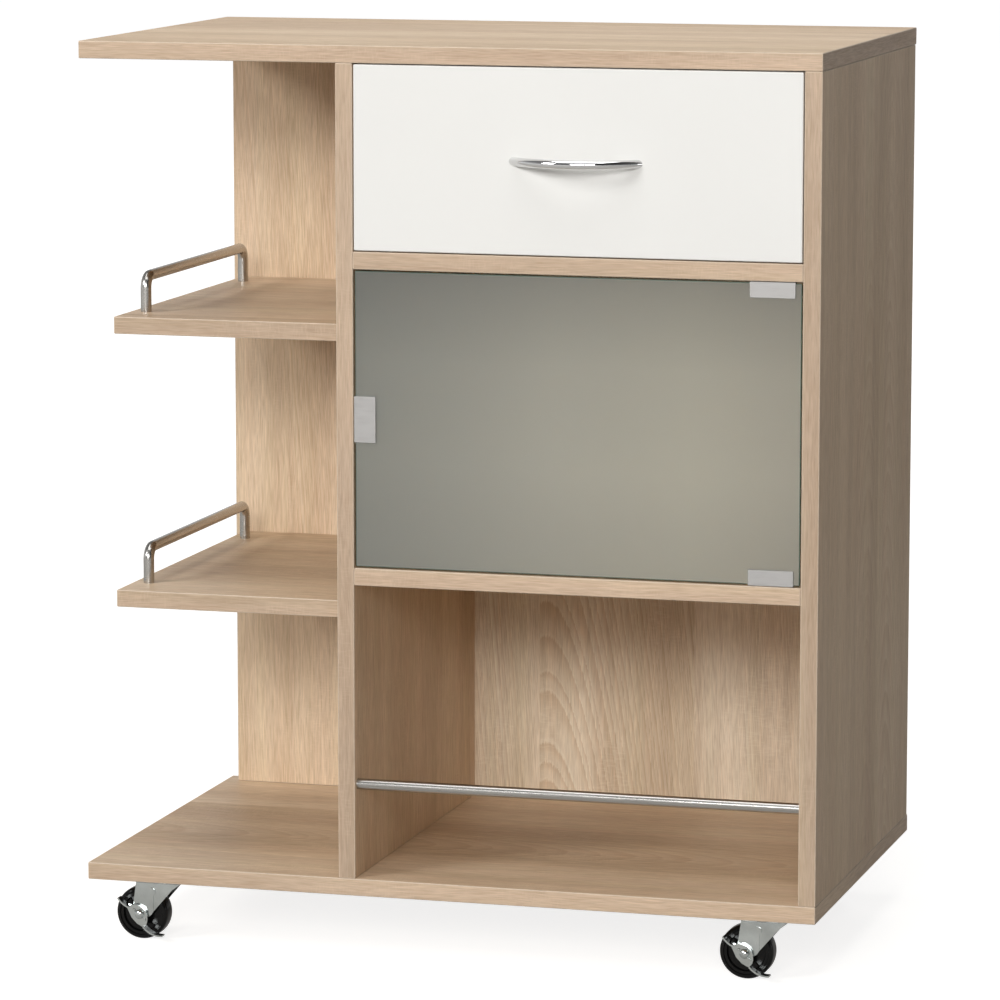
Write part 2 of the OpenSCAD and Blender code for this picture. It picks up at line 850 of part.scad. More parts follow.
module drawer_handle() {
    color(chrome) from_corner() difference() {
        translate([handle_middle_x, handle_bend_radius - handle_bow, handle_middle_z])
            rotate([0, 0, -90 - handle_half_angle]) rotate_extrude(angle = 2 * handle_half_angle)
                translate([handle_bend_radius, 0]) circle(r = handle_radius);
        translate([handle_middle_x - handle_span, 0, handle_middle_z - handle_diameter])
            cube([2 * handle_span, 4 * handle_diameter, 2 * handle_diameter]);
        handle_screw_places()
            cylinder(r = handle_screw_radius, h = drawer_front_thick + cut_over + handle_thread_depth);
    }
}

module handle_screws() {
    color(zinc) from_corner() handle_screw_places() translate([0, 0, cut_over]) {
        cylinder(r = handle_screw_radius, h = drawer_front_thick + handle_thread_depth - seat_gap);
        translate([0, 0, -handle_screw_head_height])
            cylinder(r = handle_screw_head_radius, h = handle_screw_head_height);
    }
}

// Runners: the cupboard's channel carries the front roller, the drawer's angle carries the rear roller.
// Both are drawn for the left side, with x = 0 on the divider and z = 0 at the drawer sides' lower edge.
module roller_pin(length) {
    rotate([0, 90, 0]) cylinder(r = roller_pin_radius, h = length);
    translate([length - pin_head_thick, 0, 0]) rotate([0, 90, 0])
        cylinder(r = pin_head_radius, h = pin_head_thick);
}

module cabinet_runner() {
    color(white_front) difference() {
        union() {
            translate([0, runner_setback, 0]) cube([runner_sheet, runner_length, channel_height]);
            translate([0, runner_setback, 0]) cube([channel_width, runner_length, runner_sheet]);
            translate([0, runner_setback + channel_cutback, channel_height - runner_sheet])
                cube([channel_width, runner_length - channel_cutback, runner_sheet]);
            translate([0, front_roller_y, front_roller_z]) roller_pin(channel_width);
        }
        translate([-divider_right_x, 0, -drawer_side_z]) runner_screw_places() panel_screw();
    }
}

module drawer_runner() {
    color(white_front) difference() {
        union() {
            translate([runner_space - runner_sheet, drawer_front_thick, -runner_sheet])
                cube([runner_sheet, runner_length, drawer_flange_z + 2 * runner_sheet]);
            translate([runner_space - runner_sheet, drawer_front_thick, -runner_sheet])
                cube([runner_sheet + runner_foot, runner_length, runner_sheet]);
            translate([runner_sheet + drawer_flange_gap, drawer_front_thick, drawer_flange_z])
                cube([runner_space - runner_sheet - drawer_flange_gap, runner_length, runner_sheet]);
            translate([runner_space - runner_sheet, rear_roller_y, rear_roller_z]) mirror([1, 0, 0])
                roller_pin(runner_space - 2 * runner_sheet - seat_gap);
        }
        translate([-divider_right_x, 0, -drawer_side_z]) drawer_runner_screw_places() drawer_runner_screw();
    }
}

module on_left_side() {
    from_corner() translate([divider_right_x, 0, drawer_side_z]) children();
}

module on_right_side() {
    from_corner() translate([right_panel_x, 0, drawer_side_z]) mirror([1, 0, 0]) children();
}

module left_cabinet_runner() { on_left_side() cabinet_runner(); }
module right_cabinet_runner() { on_right_side() cabinet_runner(); }
module left_drawer_runner() { on_left_side() drawer_runner(); }
module right_drawer_runner() { on_right_side() drawer_runner(); }

module roller(width) {
    color(grey_plastic) rotate([0, 90, 0]) difference() {
        cylinder(r = roller_radius, h = width);
        translate([0, 0, -cut_over]) cylinder(r = roller_pin_radius + running_fit, h = width + 2 * cut_over);
        translate([0, 0, width - roller_recess]) difference() {
            cylinder(r = roller_radius - roller_wall, h = cut_over);
            cylinder(r = roller_pin_radius + roller_wall, h = cut_over);
        }
    }
}

module front_roller() {
    translate([runner_sheet + seat_gap, front_roller_y, front_roller_z])
        roller(channel_width - pin_head_thick - runner_sheet - 2 * seat_gap);
}

module rear_roller() {
    translate([runner_sheet + pin_head_thick + 2 * seat_gap, rear_roller_y, rear_roller_z])
        roller(runner_space - 2 * runner_sheet - pin_head_thick - 3 * seat_gap);
}

module front_rollers() {
    on_left_side() front_roller();
    on_right_side() front_roller();
}

module rear_rollers() {
    on_left_side() rear_roller();
    on_right_side() rear_roller();
}

// Glass door
module glass_door() {
    color(glass_tint) from_corner()
        board([glass_x, glass_setback, glass_z], [glass_width, glass_thick, glass_height]);
}

// Upper clamp with z = 0 at the top edge of the glass; the lower one is its mirror image
module hinge_clamp() {
    difference() {
        translate([clamp_x, glass_setback - clamp_sheet, clamp_sheet - clamp_height])
            cube([clamp_length, glass_thick + 2 * clamp_sheet, clamp_height]);
        translate([clamp_x - cut_over, glass_setback, -clamp_height])
            cube([clamp_length + 2 * cut_over, glass_thick, clamp_height]);
        clamp_screw_places() cylinder(r = clamp_screw_radius, h = 4 * clamp_sheet, center = true);
    }
    translate([hinge_x, hinge_y, 0]) {
        cylinder(r = hinge_lug_radius, h = clamp_sheet);
        cylinder(r = hinge_pin_radius, h = clamp_sheet + hinge_pin_length);
    }
}

module clamp_screw_places() {
    for (x = [clamp_x + clamp_length / 4, clamp_x + 3 * clamp_length / 4])
        translate([x, glass_setback + glass_thick + clamp_sheet, -clamp_height / 2])
            rotate([90, 0, 0]) children();
}

module at_glass_top() { translate([0, 0, glass_z + glass_height]) children(); }
module at_glass_bottom() { translate([0, 0, glass_z]) mirror([0, 0, 1]) children(); }

module upper_hinge_clamp() { color(steel) from_corner() at_glass_top() hinge_clamp(); }
module lower_hinge_clamp() { color(steel) from_corner() at_glass_bottom() hinge_clamp(); }

module strike_screw_places() {
    for (z = [strike_z + strike_height / 6, strike_z + 5 * strike_height / 6])
        translate([glass_x + strike_width / 2, glass_setback + glass_thick + clamp_sheet, z])
            rotate([90, 0, 0]) children();
}

module strike_plate() {
    color(steel) from_corner() difference() {
        translate([glass_x - clamp_sheet, glass_setback - clamp_sheet, strike_z])
            cube([strike_width + clamp_sheet, glass_thick + 2 * clamp_sheet, strike_height]);
        translate([glass_x, glass_setback, strike_z - cut_over])
            cube([strike_width + cut_over, glass_thick, strike_height + 2 * cut_over]);
        strike_screw_places() cylinder(r = clamp_screw_radius, h = 4 * clamp_sheet, center = true);
    }
}

module clamp_screw() {
    translate([0, 0, -clamp_sheet]) difference() {
        cylinder(r = clamp_screw_radius, h = 2 * clamp_sheet);
        cylinder(r = clamp_socket_radius, h = clamp_sheet, $fn = 6);
    }
}

module clamp_screws() {
    color(zinc) from_corner() {
        at_glass_top() clamp_screw_places() clamp_screw();
        at_glass_bottom() clamp_screw_places() clamp_screw();
        strike_screw_places() clamp_screw();
    }
}

module hinge_bush_places() {
    translate([hinge_x, hinge_y, drawer_shelf_z]) children();
    translate([hinge_x, hinge_y, door_shelf_top_z]) mirror([0, 0, 1]) children();
}

module hinge_bushes() {
    color(grey_plastic) from_corner() hinge_bush_places() difference() {
        cylinder(r = bush_radius, h = bush_height);
        translate([0, 0, -cut_over])
            cylinder(r = hinge_pin_radius + running_fit, h = hinge_pin_length + cut_over);
    }
}

// Push latch on the divider, behind the strike plate
module push_latch_body() {
    color(grey_plastic) from_corner() difference() {
        union() {
            board(
                [divider_right_x, latch_y, strike_middle_z - latch_height / 2],
                [latch_width, latch_length, latch_height]
            );
            board(
                [
                    divider_right_x,
                    latch_y + latch_length - latch_ear_length,
                    strike_middle_z - latch_height / 2 - latch_ear_height
                ],
                [latch_ear_thick, latch_ear_length, latch_height + 2 * latch_ear_height]
            );
        }
        translate([plunger_x, latch_y - cut_over, strike_middle_z]) rotate([-90, 0, 0])
            cylinder(r = plunger_radius + running_fit, h = plunger_length + cut_over);
        latch_screw_places() panel_screw();
    }
}

module push_latch_plunger() {
    color(black_plastic) from_corner() translate([plunger_x, plunger_tip_y, strike_middle_z])
        rotate([-90, 0, 0]) cylinder(r = plunger_radius, h = plunger_length - plunger_travel);
}

// Casters: the swivel axis is at the origin and the wheel trails towards -X
module on_axle() {
    translate([-caster_trail, 0, wheel_radius]) children();
}

module caster_plate() {
    color(zinc) difference() {
        union() {
            translate([-plate_side / 2, -plate_side / 2, plate_bottom_z])
                cube([plate_side, plate_side, plate_thick]);
            rotate_extrude() polygon([
                [0, plate_bottom_z],
                [race_radius + race_flare, plate_bottom_z],
                [race_radius, plate_bottom_z - race_height],
                [race_radius - race_width, plate_bottom_z - race_height],
                [race_radius - race_width - race_flare, plate_bottom_z - plate_boss_height],
                [0, plate_bottom_z - plate_boss_height]
            ]);
            translate([0, 0, swivel_head_z]) {
                cylinder(r = swivel_pin_radius, h = plate_bottom_z - swivel_head_z);
                cylinder(r = swivel_head_radius, h = swivel_head_thick);
            }
        }
        for (dx = [-1, 1])
            for (dy = [-1, 1])
                translate([dx * plate_screw_spacing / 2, dy * plate_screw_spacing / 2, 0])
                    cylinder(r = screw_radius, h = caster_height + cut_over);
    }
}

// Outline of the fork seen from the front, from the crown down to the eye round the axle
module fork_outline() {
    crown_edge = 4;
    heel_height = 8;
    edge_top = [31, 23.6];
    edge_low = [13.3, 3];
    toe = [11, -0.5];
    toe_under = [5, -4.9];
    polygon([
        [-crown_radius, crown_top_z],
        [crown_radius, crown_top_z],
        [crown_radius, crown_top_z - crown_edge],
        for (corner = [edge_top, edge_low, toe, toe_under])
            [corner[0] - caster_trail, corner[1] + wheel_radius],
        [-caster_trail, wheel_radius],
        [-fork_eye_radius - caster_trail, wheel_radius],
        [-fork_eye_radius - caster_trail, wheel_radius + heel_height]
    ]);
    translate([-caster_trail, wheel_radius]) circle(r = fork_eye_radius);
}

// Bent sheet seen from the side: a channel with rounded shoulders
module fork_channel() {
    shoulder = 4;
    shoulder_y = fork_outer_half - shoulder;
    shoulder_z = crown_top_z - shoulder;
    difference() {
        union() {
            translate([-fork_outer_half, 0]) square([2 * fork_outer_half, shoulder_z]);
            translate([-shoulder_y, 0]) square([2 * shoulder_y, crown_top_z]);
            for (side = [-1, 1])
                translate([side * shoulder_y, shoulder_z]) circle(r = shoulder);
        }
        translate([-fork_inner_half, -cut_over]) square([2 * fork_inner_half, shoulder_z + cut_over]);
        translate([-shoulder_y, -cut_over]) square([2 * shoulder_y, crown_bottom_z + cut_over]);
        for (side = [-1, 1])
            translate([side * shoulder_y, shoulder_z]) circle(r = shoulder - fork_sheet);
    }
}

// Stamped rib down each leg, with a round boss at its upper end
module fork_ribs() {
    rib_radius = 2.2;
    rib_shift = 4;
    boss_radius = 4;
    boss_drop = 12;
    rib_top = crown_top_z - boss_drop;
    rib_x = fork_eye_radius + rib_shift - caster_trail;
    rib_depth = rib_height + fork_sheet / 2;
    for (side = [0, 1]) mirror([0, side, 0]) translate([rib_x, -fork_outer_half - rib_height, 0]) {
        translate([-rib_radius, 0, wheel_radius]) cube([2 * rib_radius, rib_depth, rib_top - wheel_radius]);
        translate([0, 0, rib_top]) rotate([-90, 0, 0]) cylinder(r = boss_radius, h = rib_depth);
    }
}

module caster_fork() {
    color(zinc) difference() {
        union() {
            intersection() {
                union() {
                    translate([-2 * crown_radius, 0, 0]) rotate([90, 0, 90]) linear_extrude(4 * crown_radius)
                        fork_channel();
                    fork_ribs();
                }
                translate([0, 2 * crown_radius, 0]) rotate([90, 0, 0]) linear_extrude(4 * crown_radius)
                    fork_outline();
            }
            translate([0, 0, crown_bottom_z]) cylinder(r = race_radius + race_flare, h = fork_sheet);
        }
        translate([0, 0, crown_bottom_z - cut_over])
            cylinder(r = swivel_pin_radius + running_fit, h = fork_sheet + 2 * cut_over);
        on_axle() rotate([90, 0, 0]) cylinder(r = axle_radius, h = 4 * fork_outer_half, center = true);
    }
}

function arc_points(middle, radius, from, to, steps = 6) = [
    for (step = [0:steps])
        let (turn = from + (to - from) * step / steps)
        [middle[0] + radius * cos(turn), middle[1] + radius * sin(turn)]
];

// Half of the wheel's section: hub, dished web, stepped rim and rounded tread
module wheel_section() {
    tread_round = 4;
    rim_step = 1.2;
    rim_slope = 0.5;
    rim_ledge = 2.5;
    rim_depth = 7;
    web_draft = 1;
    web_setback = 4;
    hub_wall = 4;
    half = wheel_width / 2;
    hub_radius = axle_radius + hub_wall;
    rim_radius = wheel_radius - rim_depth;
    polygon(concat(
        [
            [axle_radius + running_fit, 0],
            [axle_radius + running_fit, hub_half_width],
            [hub_radius, hub_half_width],
            [hub_radius + web_draft, half - web_setback],
            [rim_radius - web_draft, half - web_setback],
            [rim_radius, half - rim_step],
            [rim_radius + rim_ledge, half - rim_step],
            [rim_radius + rim_ledge + rim_slope, half]
        ],
        arc_points([wheel_radius - tread_round, half - tread_round], tread_round, 90, 0),
        [[wheel_radius, 0]]
    ));
}

module caster_wheel() {
    color(black_plastic) on_axle() rotate([90, 0, 0]) {
        rotate_extrude() wheel_section();
        mirror([0, 0, 1]) rotate_extrude() wheel_section();
    }
}

// Riveted axle with a domed head at each end; a braked one is longer in front, where it carries the lever
module caster_axle(front_end) {
    color(zinc) on_axle() {
        translate([0, fork_outer_half, 0]) rotate([90, 0, 0])
            cylinder(r = axle_radius, h = fork_outer_half - front_end);
        translate([0, front_end, 0]) rotate([90, 0, 0]) domed_head(axle_head_radius, axle_head_height);
        translate([0, fork_outer_half, 0]) rotate([-90, 0, 0]) domed_head(axle_head_radius, axle_head_height);
    }
}

// Rocking brake lever, drawn along its own length with its pressed plate on z = 0 and its front towards +Z
module brake_wing(start, slope, sweep) {
    wing_radius = 22;
    wing_depth = 8.4;
    translate([start[0], start[1], 0]) rotate([0, 0, slope - 90]) translate([-wing_radius, 0, 0])
        rotate_extrude(angle = sweep)
            translate([wing_radius - brake_sheet, 0]) square([brake_sheet, wing_depth]);
}

module brake_pressing() {
    lip_middle = [-1.6, -5.9];
    lip_radius = 13;
    lip_height = 3;
    lip_start = 8;
    lip_end = 126;
    lip_lap = 2;
    low_edge = [[12, -6.8], [9, -8.3], [3, -9], [-4.5, -7.5], [-10.5, -4], [-16, -1], [-14.5, 1.2]];
    stud_places = [[-6.5, 0], [7.2, -1.2]];
    stud_radius = 2;
    stud_top_radius = 1;
    stud_height = 1;
    linear_extrude(brake_sheet)
        polygon(concat(
            arc_points(lip_middle, lip_radius - brake_sheet / 2, lip_end - lip_lap, lip_start + lip_lap),
            low_edge
        ));
    translate([lip_middle[0], lip_middle[1], 0]) rotate([0, 0, lip_start])
        rotate_extrude(angle = lip_end - lip_start)
            translate([lip_radius - brake_sheet, 0]) square([brake_sheet, lip_height]);
    for (place = stud_places)
        translate([place[0], place[1], 0])
            cylinder(r1 = stud_radius, r2 = stud_top_radius, h = brake_sheet + stud_height);
}

module brake_lever() {
    low_wing = [10.5, -6];
    low_wing_slope = -16;
    low_wing_sweep = 56;
    high_wing = [11.5, 0.3];
    high_wing_slope = -13;
    high_wing_sweep = 36;
    color(zinc) on_axle() translate([0, brake_front_y, 0]) rotate([90, 0, 0]) rotate([0, 0, -brake_slope])
        difference() {
            union() {
                brake_pressing();
                brake_wing(low_wing, low_wing_slope, low_wing_sweep);
                mirror([1, 0, 0]) brake_wing(high_wing, high_wing_slope, high_wing_sweep);
            }
            translate([0, 0, -cut_over]) cylinder(r = axle_radius + running_fit, h = wheel_width);
        }
}

module front_left_caster_plate() { at_front_left() caster_plate(); }
module front_right_caster_plate() { at_front_right() caster_plate(); }
module rear_left_caster_plate() { at_rear_left() caster_plate(); }
module rear_right_caster_plate() { at_rear_right() caster_plate(); }
module front_left_caster_fork() { at_front_left() caster_fork(); }
module front_right_caster_fork() { at_front_right() caster_fork(); }
module rear_left_caster_fork() { at_rear_left() caster_fork(); }
module rear_right_caster_fork() { at_rear_right() caster_fork(); }
module front_left_caster_wheel() { at_front_left() caster_wheel(); }
module front_right_caster_wheel() { at_front_right() caster_wheel(); }
module rear_left_caster_wheel() { at_rear_left() caster_wheel(); }
module rear_right_caster_wheel() { at_rear_right() caster_wheel(); }
module front_left_caster_axle() { at_front_left() caster_axle(braked_axle_end); }
module front_right_caster_axle() { at_front_right() caster_axle(braked_axle_end); }
module rear_left_caster_axle() { at_rear_left() caster_axle(plain_axle_end); }
module rear_right_caster_axle() { at_rear_right() caster_axle(plain_axle_end); }
module front_left_brake_lever() { at_front_left() brake_lever(); }
module front_right_brake_lever() { at_front_right() brake_lever(); }

top_board();
base_board();
right_side_panel();
divider_panel();
drawer_shelf();
door_shelf();
left_back_board();
cabinet_back_panel();
upper_side_shelf();
lower_side_shelf();
cam_fittings();
wood_dowels();
base_screws();
upper_shelf_rail();
lower_shelf_rail();
rail_screws();
bottom_rail();
drawer_front();
drawer_left_side();
drawer_right_side();
drawer_back();
drawer_bottom();
drawer_cams();
drawer_screws();
drawer_handle();
handle_screws();
left_cabinet_runner();
right_cabinet_runner();
left_drawer_runner();
right_drawer_runner();
front_rollers();
rear_rollers();
glass_door();
upper_hinge_clamp();
lower_hinge_clamp();
hinge_bushes();
strike_plate();
clamp_screws();
push_latch_body();
push_latch_plunger();
front_left_caster_plate();
front_right_caster_plate();
rear_left_caster_plate();
rear_right_caster_plate();
front_left_caster_fork();
front_right_caster_fork();
rear_left_caster_fork();
rear_right_caster_fork();
front_left_caster_wheel();
front_right_caster_wheel();
rear_left_caster_wheel();
rear_right_caster_wheel();
front_left_caster_axle();
front_right_caster_axle();
rear_left_caster_axle();
rear_right_caster_axle();
front_left_brake_lever();
front_right_brake_lever();
panel_screws();
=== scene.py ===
import json
import math

import bmesh
import bpy
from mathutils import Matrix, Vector

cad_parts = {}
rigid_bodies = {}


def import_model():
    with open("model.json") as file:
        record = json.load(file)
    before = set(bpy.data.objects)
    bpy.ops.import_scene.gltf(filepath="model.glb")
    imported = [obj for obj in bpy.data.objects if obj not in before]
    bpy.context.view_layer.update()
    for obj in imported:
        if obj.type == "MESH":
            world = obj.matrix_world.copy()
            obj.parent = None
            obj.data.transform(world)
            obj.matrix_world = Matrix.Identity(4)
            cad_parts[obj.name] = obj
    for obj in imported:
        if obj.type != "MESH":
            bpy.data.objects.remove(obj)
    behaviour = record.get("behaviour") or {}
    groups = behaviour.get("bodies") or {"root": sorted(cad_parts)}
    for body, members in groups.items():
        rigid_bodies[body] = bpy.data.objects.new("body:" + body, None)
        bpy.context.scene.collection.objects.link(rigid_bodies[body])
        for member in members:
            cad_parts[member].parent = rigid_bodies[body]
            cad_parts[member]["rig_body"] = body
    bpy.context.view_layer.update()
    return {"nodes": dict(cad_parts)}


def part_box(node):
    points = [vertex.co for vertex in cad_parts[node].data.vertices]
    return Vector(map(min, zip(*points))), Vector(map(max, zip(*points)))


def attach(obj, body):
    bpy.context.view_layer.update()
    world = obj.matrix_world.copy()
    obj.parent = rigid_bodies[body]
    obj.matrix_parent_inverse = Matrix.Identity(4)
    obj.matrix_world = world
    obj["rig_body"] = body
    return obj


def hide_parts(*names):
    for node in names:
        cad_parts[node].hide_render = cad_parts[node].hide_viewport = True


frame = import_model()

bl_info = {
    "name": "Kitchen Cart Finish",
    "version": (1, 0, 0),
    "blender": (4, 5, 0),
    "location": "3D View > Sidebar > Kitchen Cart",
    "description": "Finishes and fine pieces for the frame of a kitchen cart",
    "category": "Object",
}

NODES = frame["nodes"]
MM = 0.001

# Boards that lie flat, and the thin axis of each board that stands
HORIZONTAL_BOARDS = (
    "top_board",
    "base_board",
    "drawer_shelf",
    "door_shelf",
    "upper_side_shelf",
    "lower_side_shelf",
)
UPRIGHT_BOARDS = {"right_side_panel": 0, "divider_panel": 0, "left_back_board": 1}
# Name, place, width, height and power of each lamp; all face one point in the cart
LAMPS = (
    ("front light", (-0.3, -11.0, 4.6), 3.0, 2.4, 372.0),
    ("low front light", (-0.3, -11.0, 2.75), 3.0, 2.8, 85.0),
    ("right front light", (3.0, -11.0, 4.0), 2.4, 2.4, 335.0),
    ("left light", (-6.0, -6.5, 5.0), 2.6, 2.6, 370.0),
    ("right light", (9.0, -0.8, 0.7), 2.0, 2.0, 30.0),
    ("top light", (0.0, -0.5, 3.6), 2.6, 2.6, 60.0),
    ("back light", (-1.5, 8.5, 5.0), 3.0, 2.4, 130.0),
)
LAMPS_FACE = (0.0, 0.0, 0.45)
# Where the camera stands, and how many degrees it looks down and turns left
CAMERA_PLACE = (1.2933, -4.5788, 1.1145)
CAMERA_DOWN = 8.47
CAMERA_TURN = 15.80
CASTERS = ("front_left", "front_right", "rear_left", "rear_right")


# Sizes and colours that a user would change


def colour(name, description, default):
    return bpy.props.FloatVectorProperty(
        name=name,
        description=description,
        default=default,
        subtype="COLOR",
        size=3,
        min=0.0,
        max=1.0,
    )


def length(name, description, default):
    return bpy.props.FloatProperty(
        name=name, description=description, default=default, min=0.0, unit="LENGTH", precision=5
    )


def share(name, description, default):
    return bpy.props.FloatProperty(
        name=name, description=description, default=default, min=0.0, max=1.0, subtype="FACTOR"
    )


class CartBoardSettings(bpy.types.PropertyGroup):
    edge_radius: length("Edge radius", "Rounding of the boards' outer edges", 0.0009)
    pale: colour("Pale oak", "Palest tone of the oak foil", (0.725, 0.575, 0.415))
    middle: colour("Oak", "Middle tone of the oak foil", (0.66, 0.51, 0.356))
    dark: colour("Dark oak", "Darkest tone of the oak foil", (0.58, 0.43, 0.29))
    band: colour("Edge band", "Middle tone of the edge bands", (0.535, 0.405, 0.294))
    # The arris tone is paler than the band: a painted highlight on the rounded edges
    arris: colour("Arris", "Tone of the rounded edges of the bands", (0.64, 0.51, 0.385))
    fibre: share("Fibres", "Strength of the fine fibres", 0.24)
    figure: share("Figure", "Strength of the growth rings", 0.6)
    saw: share("Saw marks", "Strength of the marks across the grain", 0.14)
    plank: length("Plank width", "Width of the planks in the print", 0.21)
    gloss: share("Roughness", "Roughness of the foil", 0.45)


class CartDrawerSettings(bpy.types.PropertyGroup):
    front_colour: colour("Front", "Colour of the drawer front", (0.785, 0.777, 0.75))
    box_colour: colour("Box", "Colour of the drawer box", (0.8, 0.79, 0.76))
    edge_radius: length("Edge radius", "Rounding of the drawer front's edges", 0.001)


class CartGlassSettings(bpy.types.PropertyGroup):
    tint: colour("Tint", "Colour of the frosted glass", (0.84, 0.83, 0.73))
    edge_tint: colour("Edge tint", "Colour of the pane's polished edges", (0.16, 0.24, 0.2))
    clearness: share("Clearness", "Share of the light that passes the pane", 0.74)
    frost: share("Frost", "Roughness of the frosted face", 0.42)
    edge_radius: length("Edge radius", "Rounding of the pane's edges", 0.0005)


class CartMetalSettings(bpy.types.PropertyGroup):
    steel: colour("Stainless steel", "Colour of the rails", (0.5, 0.485, 0.46))
    chrome: colour("Chrome", "Colour of the handle", (0.72, 0.72, 0.72))
    zinc: colour("Zinc", "Colour of plated pieces", (0.68, 0.72, 0.71))
    clamp: colour("Clamps", "Colour of the clamps on the glass", (0.45, 0.44, 0.43))
    bar_sides: bpy.props.IntProperty(
        name="Bar sides", description="Faces round a rail", default=40, min=12, max=96
    )


class CartStageSettings(bpy.types.PropertyGroup):
    floor_colour: colour("Floor", "Colour of the floor", (0.45, 0.435, 0.41))
    light: bpy.props.FloatProperty(
        name="Light", description="Share of the lamps' full power", default=1.0, min=0.0, max=4.0
    )
    ambient: share("Ambient", "Strength of the light from all round", 0.02)
    ambient_tint: colour("Ambient tint", "Colour of the light from all round", (1.0, 0.93, 0.84))
    focal: bpy.props.FloatProperty(
        name="Lens", description="Focal length in millimetres", default=184.79, min=20.0
    )


def settings(name):
    return getattr(bpy.context.scene, "cart_" + name)


# Materials


class Nodes:
    """Short ways to add nodes to a tree."""

    def __init__(self, tree):
        self.tree = tree

    def own(self, kind):
        """The node of a type that the tree starts with."""
        return next(node for node in self.tree.nodes if node.type == kind)

    def set(self, node, values):
        for name, value in values.items():
            if isinstance(value, bpy.types.NodeSocket):
                self.tree.links.new(value, node.inputs[name])
            else:
                node.inputs[name].default_value = value

    def add(self, kind, values=None, **options):
        node = self.tree.nodes.new(kind)
        for name, value in options.items():
            setattr(node, name, value)
        self.set(node, values or {})
        return node

    def maths(self, operation, *values):
        return self.add("ShaderNodeMath", dict(enumerate(values)), operation=operation).outputs[0]


class Finish(Nodes):
    """A material under construction, on Object coordinates."""

    def __init__(self, name, roughness, metallic=0.0):
        self.material = bpy.data.materials.new(name)
        self.material.use_nodes = True
        super().__init__(self.material.node_tree)
        self.shader = self.own("BSDF_PRINCIPLED")
        self.set(self.shader, {"Roughness": roughness, "Metallic": metallic})
        self.place = self.add("ShaderNodeTexCoord").outputs["Object"]

    def stretched(self, scale, offset=(0.0, 0.0, 0.0)):
        """Object coordinates times a scale for each axis."""
        return self.add(
            "ShaderNodeMapping", {"Vector": self.place, "Scale": scale, "Location": offset}
        ).outputs[0]

    def noise(self, vector, scale, detail=2.0, roughness=0.5):
        values = {"Vector": vector, "Scale": scale, "Detail": detail, "Roughness": roughness}
        return self.add("ShaderNodeTexNoise", values).outputs[0]

    def ramp(self, factor, stops):
        """Colours or grey levels at positions from 0 to 1."""
        node = self.add("ShaderNodeValToRGB", {"Fac": factor})
        elements = node.color_ramp.elements
        while len(elements) < len(stops):
            elements.new(0.5)
        for element, (position, tone) in zip(elements, stops):
            element.position = position
            element.color = (*(tone if hasattr(tone, "__len__") else [tone] * 3), 1.0)
        return node.outputs[0]

    def mix(self, factor, first, second, blend="MIX"):
        node = self.add("ShaderNodeMix", data_type="RGBA", blend_type=blend)
        for index, value in ((0, factor), (6, first), (7, second)):
            if isinstance(value, bpy.types.NodeSocket):
                self.tree.links.new(value, node.inputs[index])
            elif index == 0:
                node.inputs[0].default_value = value
            else:
                node.inputs[index].default_value = (*value, 1.0)
        return node.outputs[2]

    def bump(self, height, strength, distance):
        values = {"Height": height, "Strength": strength, "Distance": distance}
        self.set(self.shader, {"Normal": self.add("ShaderNodeBump", values).outputs[0]})

    def finish(self, **values):
        self.set(self.shader, {name.replace("_", " "): value for name, value in values.items()})
        return self.material


def along(grain, length_scale, cross_scale):
    """Scale for a pattern that runs along one axis."""
    scale = [cross_scale] * 3
    scale[grain] = length_scale
    return scale


def growth_rings(oak, off, run):
    """Arched growth lines: steep beside the heart of the tree, nearly straight away from it."""
    point, slant, far_slant = 420.0, 0.17, 20.0
    per_metre, slow_scale, uneven = 31.0, 12.0, 2.4
    square = oak.maths("MULTIPLY", off, off)
    arch = oak.maths("SQRT", oak.maths("MULTIPLY_ADD", square, point, 1.0))
    rise = oak.maths("MULTIPLY_ADD", arch, slant, run)
    rise = oak.maths("MULTIPLY_ADD", square, far_slant, rise)
    slow = oak.add(
        "ShaderNodeTexNoise", {"W": rise, "Scale": slow_scale, "Detail": 1.0}, noise_dimensions="1D"
    ).outputs[0]
    slow = oak.maths("MULTIPLY", slow, uneven)
    year = oak.maths("FRACT", oak.maths("MULTIPLY_ADD", rise, per_metre, slow))
    return oak.ramp(year, [(0.0, 0.3), (0.4, 0.35), (0.84, 1.0), (0.9, 0.1), (0.97, 0.0)])


